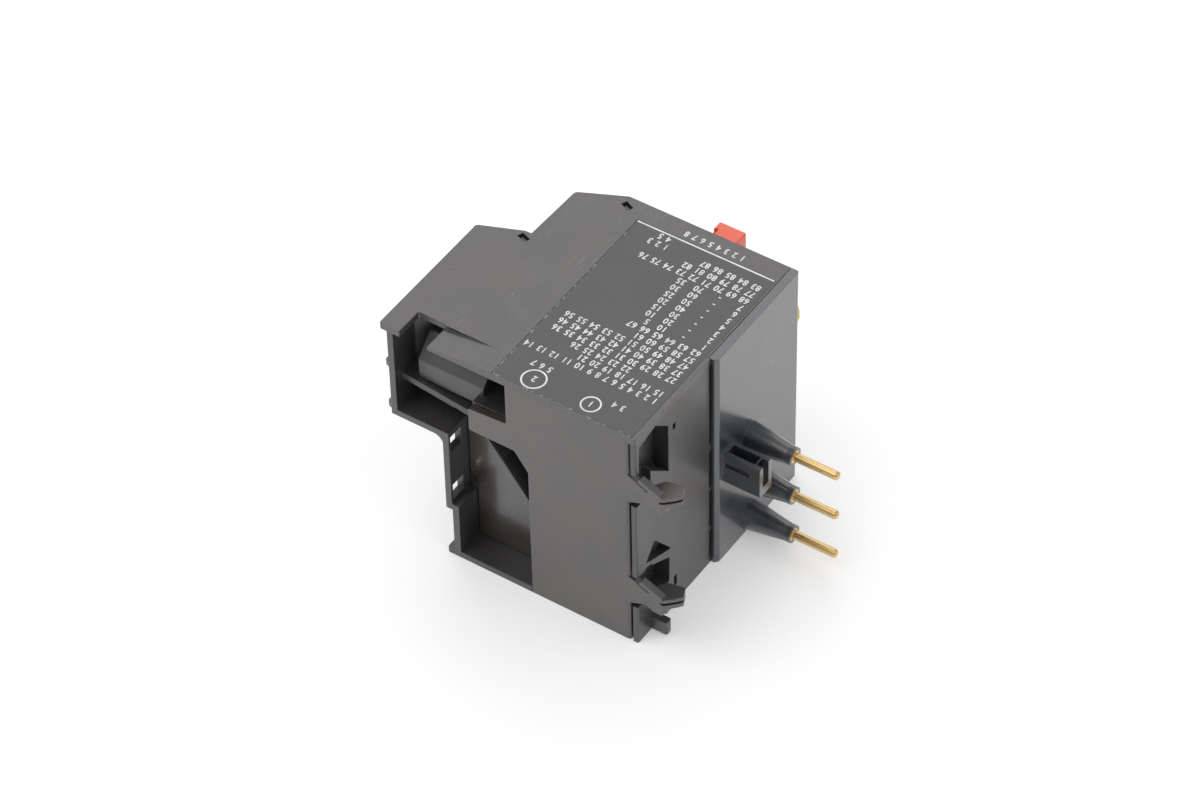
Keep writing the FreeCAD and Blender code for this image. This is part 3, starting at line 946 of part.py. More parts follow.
def setting_dial():
    """Knob with a fluted rim and pointer slot, its shaft and the snail cam behind the cover."""
    seat_y = DEPTH - DIAL_SEAT + RUN_GAP
    knob = rod_y(DIAL_R, (seat_y, DIAL_FRONT_Y), DIAL_X, DIAL_Z)
    knob = knob.makeChamfer(0.4, [e for e in knob.Edges if abs(e.CenterOfMass.y - DIAL_FRONT_Y) < 0.01])
    flutes = []
    for i in range(DIAL_FLUTES):
        angle = 2 * math.pi * i / DIAL_FLUTES
        flutes.append(rod_y(0.32, (seat_y + 1.0, DIAL_FRONT_Y + 1), DIAL_X + (DIAL_R + 0.1) * math.sin(angle),
                            DIAL_Z + (DIAL_R + 0.1) * math.cos(angle)))
    slot = prism_y([(DIAL_X - 0.6, DIAL_Z - 3.4, 0.2), (DIAL_X + 0.6, DIAL_Z - 3.4, 0.2),
                    (DIAL_X + 0.6, DIAL_Z + 2.2), (DIAL_X + 1.3, DIAL_Z + 2.2), (DIAL_X, DIAL_Z + 4.0),
                    (DIAL_X - 1.3, DIAL_Z + 2.2), (DIAL_X - 0.6, DIAL_Z + 2.2)],
                   (DIAL_FRONT_Y - 1.3, DIAL_FRONT_Y + 1))
    shaft = rod_y(DIAL_SHAFT_R, (CAM_Y, seat_y), DIAL_X, DIAL_Z)
    return fuse([knob.cut(flutes + [slot]), shaft, snail_cam()])


def snail_cam():
    """Cam whose radius rises evenly with the angle, so the lever's lift follows the dial."""
    turn = math.radians(2 * DIAL_TURN + 30.0)
    rate = CAM_RISE / math.radians(2 * DIAL_TURN)
    steps = 12
    points = []
    for i in range(steps + 1):
        angle = -turn / 2.0 + turn * i / steps
        radius = CAM_R + CAM_RISE / 2.0 - rate * angle
        points.append(V(DIAL_X + radius * math.sin(angle), CAM_Y, DIAL_Z + radius * math.cos(angle)))
    curve = Part.BSplineCurve()
    curve.interpolate(points)
    face = Part.Face(Part.Wire([curve.toShape(), Part.LineSegment(points[-1], points[0]).toShape()]))
    return face.extrude(V(0, CAM_T, 0))


def stop_button():
    """Square button with a finger notch, a shoulder behind the front cover and a stem."""
    cap = block(span(STOP_X, STOP_W), (FRONT_PLATE_Y - 1.4, STOP_FRONT_Y), span(STOP_Z, STOP_W))
    cap = soften(cap, 0.4, lambda c, e: c.y > STOP_FRONT_Y - 0.01 or
                 (abs(e.Length - (STOP_FRONT_Y - FRONT_PLATE_Y + 1.4)) < 0.01))
    notch = block((STOP_X - STOP_W, STOP_X - STOP_W / 2.0 + 0.9), (DEPTH - 0.1, DEPTH + 3.9),
                  (STOP_Z + STOP_W / 2.0 - 1.0, STOP_Z + STOP_W))
    shoulder = block(span(STOP_X, STOP_W + 0.9), (FRONT_PLATE_Y - 1.4, FRONT_PLATE_Y - 0.2), span(STOP_Z, STOP_W))
    stem = rod_y(STEM_R, (STOP_STEM_Y, FRONT_PLATE_Y - 1.2), STOP_X, STOP_Z)
    return fuse([cap.cut(notch), shoulder, stem])


def reset_button():
    """Round button with a domed face, a collar behind the front cover and a stem."""
    cap = rod_y(RESET_R, (FRONT_PLATE_Y - 1.4, RESET_FRONT_Y), RESET_X, RESET_Z)
    cap = cap.makeChamfer(0.5, [e for e in cap.Edges if abs(e.CenterOfMass.y - RESET_FRONT_Y) < 0.01])
    slot = block(span(RESET_X, 2 * RESET_R - 1.4), (RESET_FRONT_Y - 0.9, RESET_FRONT_Y + 1),
                 span(RESET_Z, SLOT_W))
    collar = rod_y(RESET_R + 0.35, (FRONT_PLATE_Y - 1.4, FRONT_PLATE_Y - 0.2), RESET_X, RESET_Z)
    stem = rod_y(STEM_R, (STOP_STEM_Y, FRONT_PLATE_Y - 1.2), RESET_X, RESET_Z)
    return fuse([cap.cut(slot), collar, stem])


def button_spring(x, z):
    """Compression spring round a button's stem, between its shoulder and the guide's shelf."""
    length = FRONT_PLATE_Y - 1.4 - STOP_SHELF_Y - 2 * RUN_GAP
    radius = STEM_R + SPRING_WIRE / 2.0 + 0.25
    start = SPRING_WIRE / 2.0
    rise = (length - SPRING_WIRE) / (SPRING_TURNS * SPRING_SIDES)
    points = []
    for i in range(SPRING_TURNS * SPRING_SIDES + 1):
        angle = 2 * math.pi * i / SPRING_SIDES
        points.append(V(radius * math.cos(angle), radius * math.sin(angle), start + rise * i))
    half = SPRING_WIRE / 2.0
    section = Part.makePolygon([points[0] + V(half * du, 0, half * dw)
                                for du, dw in ((-1, -1), (1, -1), (1, 1), (-1, 1), (-1, -1))])
    coil = Part.makePolygon(points).makePipeShell([section], True, True, 1)
    coil.rotate(V(0, 0, 0), V(1, 0, 0), -90)
    coil.translate(V(x, STOP_SHELF_Y + RUN_GAP, z))
    return coil


def contact_carrier():
    """Carrier between chamber floor and cover; its feet press both leaf springs."""
    plate = prism_x([(CARRIER_FOOT_Y, CARRIER_Z[0], 0.4), (CARRIER_FOOT_Y + 6.6, CARRIER_Z[0], 0.8),
                     (CARRIER_FOOT_Y + 6.6, CARRIER_Z[0] + 4.0, 0.8), (CARRIER_FOOT_Y + 4.6, CARRIER_Z[0] + 6.0, 0.8),
                     (CARRIER_FOOT_Y + 4.6, CARRIER_Z[1], 0.8), (CARRIER_FOOT_Y, CARRIER_Z[1], 0.4)],
                    (LEAF_TIP_X + 0.1, LEAF_TIP_X + 1.1))
    window = prism_x(rectangle((CARRIER_FOOT_Y + 1.6, CARRIER_FOOT_Y + 3.4), (34.0, 37.4)),
                     (LEAF_TIP_X, LEAF_TIP_X + 2), 0.4)
    feet = [prism_z([(LEAF_TIP_X - 0.7, CARRIER_FOOT_Y, 0.2), (LEAF_TIP_X + 0.3, CARRIER_FOOT_Y),
                     (LEAF_TIP_X + 0.3, CARRIER_FOOT_Y + 2.0), (LEAF_TIP_X - 0.7, CARRIER_FOOT_Y + 1.2, 0.4)],
                    span(aux_z(column), LEAF_W)) for column in range(AUX_COLUMNS)]
    return fuse([plate.cut(window)] + feet)


def trip_flag():
    """Signal flag behind its window in the front cover, on an arm that clips on the carrier."""
    top = FRONT_PLATE_Y - 0.3
    flag = prism_y(rectangle(span(FLAG_X, FLAG_W), span(FLAG_Z, FLAG_H)), (top - 1.0, top + 1.0), 0.3)
    low = CARRIER_FOOT_Y + 4.6 + 0.05
    stalk = block(span(FLAG_X, 1.2), (FLAG_ARM_Y, top - 1.0), span(FLAG_Z, 1.6))
    arm = block((FLAG_X - 0.6, LEAF_TIP_X + 1.0), (FLAG_ARM_Y, FLAG_ARM_Y + 0.9), span(FLAG_Z, 1.6))
    foot = block((LEAF_TIP_X + 0.2, LEAF_TIP_X + 1.0), (low, FLAG_ARM_Y + 0.9), span(FLAG_Z, 1.6))
    return fuse([flag, stalk, arm, foot])


def contact_leaf(column):
    """Leaf spring with a riveted contact; the root bends about its own line."""
    z = aux_z(column)
    half = LEAF_W / 2.0
    leaf = prism_y([(LEAF_ROOT_X - 0.9, z - half, 0.3), (CONTACT_X + 1.4, z - half, 0.6),
                    (LEAF_TIP_X, z - half + 0.5, 0.4), (LEAF_TIP_X, z + half - 0.5, 0.4),
                    (CONTACT_X + 1.4, z + half, 0.6), (LEAF_ROOT_X - 0.9, z + half, 0.3)],
                   (LEAF_Y, LEAF_Y + LEAF_T))
    if column == NC_COLUMN:
        rivet = rod_y(CONTACT_R, (LEAF_Y + LEAF_T, LEAF_Y + LEAF_T + CONTACT_H), CONTACT_X, z)
    else:
        rivet = rod_y(CONTACT_R, (LEAF_Y - CONTACT_H, LEAF_Y), CONTACT_X, z)
    return fuse([leaf, rivet])


def fixed_contact(column):
    """Riser, tongue and contact rivet that the bar of the fixed contact ends in."""
    z = aux_z(column)
    half = LEAF_W / 2.0
    inner = LEAF_ROOT_X + 2.0
    tongue_x = (inner - 0.9, CONTACT_X + 1.6)
    if column == NC_COLUMN:
        face = LEAF_Y + LEAF_T + CONTACT_H + RUN_GAP
        tongue_y = (face + CONTACT_H, face + CONTACT_H + 0.7)
        riser_y = (tongue_y[0], UPPER_BAR_Y + 0.1)
        rivet_y = (face, tongue_y[0])
    else:
        drop = LEAF_TURN * (CONTACT_X + CONTACT_R - LEAF_PIVOT_X)
        face = LEAF_Y - CONTACT_H - drop - 0.1
        tongue_y = (face - CONTACT_H - 0.7, face - CONTACT_H)
        riser_y = (LOWER_BAR_Y + BAR_T - 0.1, tongue_y[1])
        rivet_y = (tongue_y[1], face)
    tongue = block(tongue_x, tongue_y, (z - half, z + half))
    riser = block((inner - 0.9, inner), riser_y, (z - half, z + half))
    rivet = rod_y(CONTACT_R, rivet_y, CONTACT_X, z)
    return [tongue, riser, rivet]


def leaf_support(column):
    """Riser from a bar to the root of the leaf spring."""
    z = aux_z(column)
    half = LEAF_W / 2.0
    x_span = (LEAF_ROOT_X - 0.9, LEAF_ROOT_X)
    if column == NC_COLUMN:
        return [block(x_span, (LOWER_BAR_Y + BAR_T - 0.1, LEAF_Y - 0.12), (z - half, z + half))]
    return [block(x_span, (LEAF_Y + LEAF_T + 0.12, UPPER_BAR_Y + 0.1), (z - half, z + half))]


def load_bar(pole, site):
    """Terminal bar with the lug that the free end of the winding is welded to."""
    lug = prism_y([(CHAMBER_X + FREE_GAP, site.z - 1.4), (site.inner_x, site.z - 1.4),
                   (site.inner_x, site.z + 1.4), (CHAMBER_X + FREE_GAP, site.z + 1.4)],
                  (site.bar_top - 0.2, site.bar_top + 2.6))
    return fuse([site.bar(), lug])


def snap_tongues():
    """Tongues of the base that stand in the snap windows of the side cover."""
    return [prism_z(snap_window(x, y, turn, 0.3), (COVER_Z - 1.0, WIDTH - 0.5))
            for x, y, turn in SNAP_SITES]


PARTS = {}


def main():
    base = fuse([housing_base()] + comp_posts() + snap_tongues())
    sockets = [rod_z(PEG_R + 0.02, (COVER_Z - PEG_H - 0.3, COVER_Z + 1), x, y) for x, y in PEG_SITES]
    PARTS["housing_base"] = base.cut(sockets)
    PARTS["side_cover"] = side_cover()
    PARTS["front_cover"] = fuse([front_cover()] + setting_pivot())
    PARTS["rear_latch_plate"] = rear_latch_plate()
    PARTS["pin_carrier"] = pin_carrier()
    PARTS["bimetal_carrier"] = Part.makeCompound(bimetal_carrier())
    for pole in range(POLES):
        number = pole + 1
        PARTS["contact_pin_%d" % number] = contact_pin(pole)
        PARTS["bimetal_strip_%d" % number] = bimetal_strip(pole)
        PARTS["heater_winding_%d" % number] = heater_winding(pole)
    for pole, site in enumerate(load_sites()):
        number = pole + 1
        PARTS["load_terminal_%d" % number] = load_bar(pole, site)
        PARTS["load_clamp_%d" % number] = site.clamp()
        PARTS["load_screw_%d" % number] = site.screw()
    for index, site in enumerate(aux_sites()):
        number = index + 1
        column = index // 2
        upper = index % 2 == 0
        carries_fixed = upper == (column == NC_COLUMN)
        extra = fixed_contact(column) if carries_fixed else leaf_support(column)
        PARTS["aux_terminal_%d" % number] = fuse([site.bar()] + extra)
        PARTS["aux_clamp_%d" % number] = site.clamp()
        PARTS["aux_screw_%d" % number] = site.screw()
    PARTS["contact_leaf_no"] = contact_leaf(0)
    PARTS["contact_leaf_nc"] = contact_leaf(NC_COLUMN)
    PARTS["contact_carrier"] = contact_carrier()
    PARTS["trip_flag"] = trip_flag()
    PARTS["trip_slider"] = trip_slider()
    PARTS["differential_slider"] = differential_slider()
    PARTS["differential_lever"] = differential_lever()
    PARTS["compensation_lever"] = compensation_lever()
    PARTS["trip_latch"] = trip_latch()
    PARTS["setting_lever"] = setting_lever()
    PARTS["setting_dial"] = setting_dial()
    PARTS["stop_button"] = stop_button()
    PARTS["reset_button"] = reset_button()
    PARTS["stop_spring"] = button_spring(STOP_X, STOP_Z)
    PARTS["reset_spring"] = button_spring(RESET_X, RESET_Z)

    os.makedirs("parts", exist_ok=True)
    for name, shape in PARTS.items():
        shape.translate(ORIGIN_SHIFT)
        shape.exportStep("parts/%s.step" % name)


main()
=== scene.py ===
"""Dresses the thermal overload relay in plastic, print and metal, and sets its floor, lamps and camera."""

import logging
import math
from dataclasses import dataclass, field

import bpy
from mathutils import Matrix, Vector


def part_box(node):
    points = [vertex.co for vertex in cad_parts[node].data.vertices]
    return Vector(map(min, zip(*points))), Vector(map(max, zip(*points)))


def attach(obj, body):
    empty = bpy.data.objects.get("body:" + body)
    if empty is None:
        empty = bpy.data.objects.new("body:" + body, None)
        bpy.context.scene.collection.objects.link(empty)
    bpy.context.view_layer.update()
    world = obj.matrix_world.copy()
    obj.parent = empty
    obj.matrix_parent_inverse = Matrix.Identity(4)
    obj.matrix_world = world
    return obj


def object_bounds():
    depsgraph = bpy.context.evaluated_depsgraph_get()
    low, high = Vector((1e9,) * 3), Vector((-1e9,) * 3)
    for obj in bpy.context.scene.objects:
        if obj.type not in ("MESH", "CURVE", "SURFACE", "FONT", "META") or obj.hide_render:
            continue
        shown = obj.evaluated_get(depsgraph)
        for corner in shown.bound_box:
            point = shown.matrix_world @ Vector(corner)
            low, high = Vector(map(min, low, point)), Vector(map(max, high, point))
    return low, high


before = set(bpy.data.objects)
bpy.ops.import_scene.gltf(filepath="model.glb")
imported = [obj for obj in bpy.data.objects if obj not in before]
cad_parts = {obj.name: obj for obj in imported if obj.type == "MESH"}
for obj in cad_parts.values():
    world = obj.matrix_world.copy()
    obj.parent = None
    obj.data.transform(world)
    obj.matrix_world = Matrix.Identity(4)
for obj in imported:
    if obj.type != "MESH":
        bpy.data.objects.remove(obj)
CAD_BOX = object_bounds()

LOG = logging.getLogger("relay")
MM = 0.001
Triple = tuple[float, float, float]
Colour = Triple
Pair = tuple[float, float]
PALE_DUST: Colour = (0.42, 0.41, 0.40)


# ---- Node building -----------------------------------------------------------------------------


class Sheet:
    """A node tree with short calls that add and join nodes."""

    MIX_SHARE, MIX_FIRST, MIX_SECOND, MIX_COLOUR = 0, 6, 7, 2  # the Mix node's sockets when it mixes colours

    def __init__(self, tree: bpy.types.NodeTree) -> None:
        """Keeps the tree.

        Args:
            tree: the node tree of a material or of a group.
        """
        self.tree = tree

    def add(self, kind: str, inputs: dict | None = None, **settings: object) -> bpy.types.Node:
        """Adds one node.

        Args:
            kind: the node's type, without the leading ShaderNode.
            inputs: values or sockets for the node's inputs, by name or number.
            settings: properties of the node itself.

        Returns:
            The new node.
        """
        node = self.tree.nodes.new("ShaderNode" + kind)
        for name, value in settings.items():
            setattr(node, name, value)
        for name, value in (inputs or {}).items():
            self.feed(node.inputs[name], value)
        return node

    def feed(self, socket: bpy.types.NodeSocket, value: object) -> None:
        """Links a socket to another socket, or sets its value.

        Args:
            socket: the input to feed.
            value: an output socket, a number, or a colour of three numbers.
        """
        if isinstance(value, bpy.types.NodeSocket):
            self.tree.links.new(value, socket)
        elif isinstance(value, tuple) and len(value) == 3 and socket.type == "RGBA":
            socket.default_value = (*value, 1.0)
        else:
            socket.default_value = value

    def calc(self, operation: str, *values: object) -> bpy.types.NodeSocket:
        """Adds a Math node.

        Args:
            operation: the Math node's operation.
            values: its inputs, in order.

        Returns:
            The result's socket.
        """
        node = self.add("Math", dict(enumerate(values)), operation=operation)
        return node.outputs[0]

    def spread(self, value: object, low: float, high: float,
               to_low: float = 0.0, to_high: float = 1.0) -> bpy.types.NodeSocket:
        """Maps a range of values smoothly onto another.

        Args:
            value: the socket to map.
            low: the value that becomes to_low.
            high: the value that becomes to_high.
            to_low: the result at low.
            to_high: the result at high.

        Returns:
            The result's socket.
        """
        node = self.add("MapRange", {0: value, 1: low, 2: high, 3: to_low, 4: to_high},
                        interpolation_type="SMOOTHSTEP")
        return node.outputs[0]

    def tint(self, share: object, first: object, second: object) -> bpy.types.NodeSocket:
        """Mixes two colours.

        Args:
            share: how much of the second colour shows.
            first: the colour at 0.
            second: the colour at 1.

        Returns:
            The mixed colour's socket.
        """
        node = self.tree.nodes.new("ShaderNodeMix")
        node.data_type = "RGBA"
        self.feed(node.inputs[self.MIX_SHARE], share)
        self.feed(node.inputs[self.MIX_FIRST], first)
        self.feed(node.inputs[self.MIX_SECOND], second)
        return node.outputs[self.MIX_COLOUR]

    def noise(self, place: object, size: float, detail: float = 3.0,
              rough: float = 0.5) -> bpy.types.NodeSocket:
        """Adds a noise whose blotches are about size millimetres across.

        Args:
            place: the position socket, in millimetres.
            size: the size of a blotch.
            detail: how many finer layers it has.
            rough: the weight of the finer layers.

        Returns:
            The noise's socket, from 0 to 1.
        """
        node = self.add("TexNoise", {"Vector": place, "Scale": 1.0 / size, "Detail": detail,
                                     "Roughness": rough})
        return node.outputs[0]

    def group(self, tree: bpy.types.NodeTree, inputs: dict) -> bpy.types.Node:
        """Places a shared group.

        Args:
            tree: the group's tree.
            inputs: values or sockets for its inputs, by name.

        Returns:
            The group's node.
        """
        node = self.tree.nodes.new("ShaderNodeGroup")
        node.node_tree = tree
        for name, value in inputs.items():
            self.feed(node.inputs[name], value)
        return node


def new_group(name: str, inputs: dict[str, tuple[str, float]], outputs: dict[str, str],
              ) -> tuple[bpy.types.NodeTree, Sheet, bpy.types.Node, bpy.types.Node]:
    """Makes an empty shader node group with named sockets.

    Args:
        name: the group's name.
        inputs: for each input its socket type and its default.
        outputs: for each output its socket type.

    Returns:
        The group's tree, its Sheet, its input node and its output node.
    """
    tree = bpy.data.node_groups.new(name, "ShaderNodeTree")
    for label, (kind, value) in inputs.items():
        socket = tree.interface.new_socket(name=label, in_out="INPUT", socket_type="NodeSocket" + kind)
        if kind == "Float":
            socket.default_value = value
    for label, kind in outputs.items():
        tree.interface.new_socket(name=label, in_out="OUTPUT", socket_type="NodeSocket" + kind)
    sheet = Sheet(tree)
    return tree, sheet, tree.nodes.new("NodeGroupInput"), tree.nodes.new("NodeGroupOutput")


class Effects:
    """The shared surface effects, each a shader node group that is built once.

    Sizes are in millimetres. A mask is 1 where its effect shows in full.
    """

    ROUNDING_SAMPLES = 8
    FLAT_COSINE, EDGE_COSINE = 0.995, 0.86  # between a face's normal and the rounded one
    EDGE_PATCH = 0.9
    LEAST_RUBBED, RUBBED_GAIN, RUBBED_FADE = 0.75, 0.5, 0.15
    SPECK_BEND = 0.25
    SPECK_LEAST, SPECK_MORE, SPECK_SOFT = 0.02, 0.09, 0.03  # as shares of a cell
    SPECK_POWER = 3.0  # how much rarer large specks are than small ones
    DUST_PATCH, DUST_GRAIN = 9.0, 0.35
    DUST_UPRIGHT = 0.35  # how much of the dust stays on a face that doesn't look up
    SCRATCH_RUNS = ((0.5, 14.0), (-0.9, 10.0))  # each run's turn, and how thin its lines are
    SCRATCH_TILT, SCRATCH_TWIST, SCRATCH_STRETCH = 0.3, 1.7, 0.25
    SCRATCH_PATCH = 5.0
    BORDER_INNER, BORDER_OUTER, BORDER_FLAKE = 0.30, 0.06, 0.8

    def __init__(self) -> None:
        """Builds every group."""
        self.place = self._place()
        self.grain = self._grain()
        self.edge = self._edge()
        self.specks = self._specks()
        self.dust = self._dust()
        self.scratches = self._scratches()
        self.border = self._border()

    def _place(self) -> bpy.types.NodeTree:
        """The position on the piece in millimetres."""
        tree, sheet, _, out = new_group("place_mm", {}, {"Place": "Vector"})
        coordinates = sheet.add("TexCoord")
        scaled = sheet.add("VectorMath", {0: coordinates.outputs["Object"], "Scale": 1.0 / MM},
                           operation="SCALE")
        sheet.feed(out.inputs["Place"], scaled.outputs[0])
        return tree

    def _grain(self) -> bpy.types.NodeTree:
        """Fine pebbled texture of a mould, with slow blotches of tone."""
        tree, sheet, given, out = new_group(
            "mould_grain", {"Place": ("Vector", 0.0), "Size": ("Float", 0.2), "Blotch": ("Float", 6.0)},
            {"Height": "Float", "Tone": "Float"})
        fine_scale = sheet.calc("DIVIDE", 1.0, given.outputs["Size"])
        fine = sheet.add("TexNoise", {"Vector": given.outputs["Place"], "Scale": fine_scale, "Detail": 4.0,
                                      "Roughness": 0.6})
        slow_scale = sheet.calc("DIVIDE", 1.0, given.outputs["Blotch"])
        slow = sheet.add("TexNoise", {"Vector": given.outputs["Place"], "Scale": slow_scale, "Detail": 5.0,
                                      "Roughness": 0.55})
        sheet.feed(out.inputs["Height"], fine.outputs[0])
        sheet.feed(out.inputs["Tone"], sheet.spread(slow.outputs[0], low=0.3, high=0.7))
        return tree

    def _edge(self) -> bpy.types.NodeTree:
        """Mask of the edges, broken up as rubbed edges are, and the rounded normal."""
        tree, sheet, given, out = new_group(
            "rubbed_edge", {"Place": ("Vector", 0.0), "Radius": ("Float", 0.25), "Amount": ("Float", 0.5)},
            {"Mask": "Float", "Normal": "Vector"})
        radius = sheet.calc("MULTIPLY", given.outputs["Radius"], MM)
        bevel = sheet.add("Bevel", {"Radius": radius}, samples=self.ROUNDING_SAMPLES)
        geometry = sheet.add("NewGeometry")
        facing = sheet.add("VectorMath", {0: bevel.outputs[0], 1: geometry.outputs["Normal"]},
                           operation="DOT_PRODUCT")
        turned = sheet.spread(facing.outputs["Value"], self.FLAT_COSINE, self.EDGE_COSINE)
        breakup = sheet.noise(given.outputs["Place"], self.EDGE_PATCH, detail=6.0, rough=0.7)
        gain = sheet.calc("MULTIPLY", given.outputs["Amount"], self.RUBBED_GAIN)
        floor = sheet.calc("SUBTRACT", self.LEAST_RUBBED, gain)
        full = sheet.calc("ADD", floor, self.RUBBED_FADE)
        patches = sheet.add("MapRange", {0: breakup, 1: floor, 2: full})
        sheet.feed(out.inputs["Mask"], sheet.calc("MULTIPLY", turned, patches.outputs[0]))
        sheet.feed(out.inputs["Normal"], bevel.outputs[0])
        return tree

    def _specks(self) -> bpy.types.NodeTree:
        """Small round specks, scattered at random."""
        tree, sheet, given, out = new_group(
            "specks", {"Place": ("Vector", 0.0), "Size": ("Float", 1.5), "Share": ("Float", 0.2)},
            {"Mask": "Float", "Tone": "Float"})
        scale = sheet.calc("DIVIDE", 1.0, given.outputs["Size"])
        wobble = sheet.add("TexNoise", {"Vector": given.outputs["Place"], "Scale": 4.0, "Detail": 2.0})
        bent = sheet.add("VectorMath", {0: wobble.outputs["Color"], "Scale": self.SPECK_BEND},
                         operation="SCALE")
        moved = sheet.add("VectorMath", {0: given.outputs["Place"], 1: bent.outputs[0]}, operation="ADD")
        cells = sheet.add("TexVoronoi", {"Vector": moved.outputs[0], "Scale": scale})
        lot = sheet.add("SeparateColor", {0: cells.outputs["Color"]})
        chosen = sheet.calc("LESS_THAN", lot.outputs[0], given.outputs["Share"])
        rarely = sheet.calc("POWER", lot.outputs[1], self.SPECK_POWER)
        reach = sheet.calc("ADD", self.SPECK_LEAST, sheet.calc("MULTIPLY", rarely, self.SPECK_MORE))
        near = sheet.calc("SUBTRACT", reach, cells.outputs["Distance"])
        spot = sheet.add("MapRange", {0: near, 1: 0.0, 2: self.SPECK_SOFT})
        sheet.feed(out.inputs["Mask"], sheet.calc("MULTIPLY", chosen, spot.outputs[0]))
        sheet.feed(out.inputs["Tone"], lot.outputs[2])
        return tree

    def _dust(self) -> bpy.types.NodeTree:
        """Thin dust in patches, a little more of it where a face looks up."""
        tree, sheet, given, out = new_group(
            "dust", {"Place": ("Vector", 0.0), "Amount": ("Float", 0.3)}, {"Mask": "Float"})
        wide = sheet.noise(given.outputs["Place"], self.DUST_PATCH, detail=6.0, rough=0.65)
        patches = sheet.spread(wide, low=0.42, high=0.75)
        small = sheet.noise(given.outputs["Place"], self.DUST_GRAIN, detail=4.0, rough=0.7)
        fine = sheet.spread(small, low=0.45, high=0.8)
        geometry = sheet.add("NewGeometry")
        parts = sheet.add("SeparateXYZ", {0: geometry.outputs["Normal"]})
        up = sheet.spread(parts.outputs["Z"], low=-0.2, high=1.0, to_low=self.DUST_UPRIGHT)
        share = sheet.calc("MULTIPLY", sheet.calc("MULTIPLY", patches, fine), up)
        sheet.feed(out.inputs["Mask"], sheet.calc("MULTIPLY", share, given.outputs["Amount"]))
        return tree

    def _scratches(self) -> bpy.types.NodeTree:
        """Fine rubbed lines, in two crossing directions."""
        tree, sheet, given, out = new_group(
            "scratches", {"Place": ("Vector", 0.0), "Amount": ("Float", 0.3)}, {"Mask": "Float"})
        lines = []
        for turn, thin in self.SCRATCH_RUNS:
            turned = sheet.add("Mapping", {"Vector": given.outputs["Place"],
                                           "Rotation": (self.SCRATCH_TILT, turn, turn * self.SCRATCH_TWIST),
                                           "Scale": (thin, self.SCRATCH_STRETCH, thin)})
            streak = sheet.add("TexNoise", {"Vector": turned.outputs[0], "Scale": 1.0, "Detail": 1.0})
            lines.append(sheet.spread(streak.outputs[0], low=0.68, high=0.74))
        both = sheet.calc("MAXIMUM", *lines)
        where = sheet.spread(sheet.noise(given.outputs["Place"], self.SCRATCH_PATCH, detail=2.0),
                             low=0.45, high=0.7)
        mask = sheet.calc("MULTIPLY", sheet.calc("MULTIPLY", both, where), given.outputs["Amount"])
        sheet.feed(out.inputs["Mask"], mask)
        return tree

    def _border(self) -> bpy.types.NodeTree:
        """Flakes along the two borders of a film where it has lifted and chipped."""
        tree, sheet, given, out = new_group(
            "flaked_border", {"Place": ("Vector", 0.0), "Low X": ("Float", 0.0), "Low Y": ("Float", 0.0)},
            {"Mask": "Float"})
        parts = sheet.add("SeparateXYZ", {0: given.outputs["Place"]})
        inward = [sheet.calc("SUBTRACT", parts.outputs[axis], given.outputs["Low " + axis])
                  for axis in "XY"]
        near = sheet.spread(sheet.calc("MINIMUM", *inward), self.BORDER_INNER, self.BORDER_OUTER)
        dashes = sheet.spread(sheet.noise(given.outputs["Place"], self.BORDER_FLAKE, detail=4.0, rough=0.7),
                              low=0.53, high=0.60)
        sheet.feed(out.inputs["Mask"], sheet.calc("MULTIPLY", near, dashes))
        return tree


# ---- Finishes ----------------------------------------------------------------------------------


def start_material(name: str) -> tuple[bpy.types.Material, Sheet, bpy.types.Node]:
    """Makes a node material with a bare Principled shader.

    Args:
        name: the material's name.

    Returns:
        The material, its Sheet and the Principled node.
    """
    material = bpy.data.materials.new(name)
    material.use_nodes = True
    shader = material.node_tree.nodes["Principled BSDF"]
    return material, Sheet(material.node_tree), shader


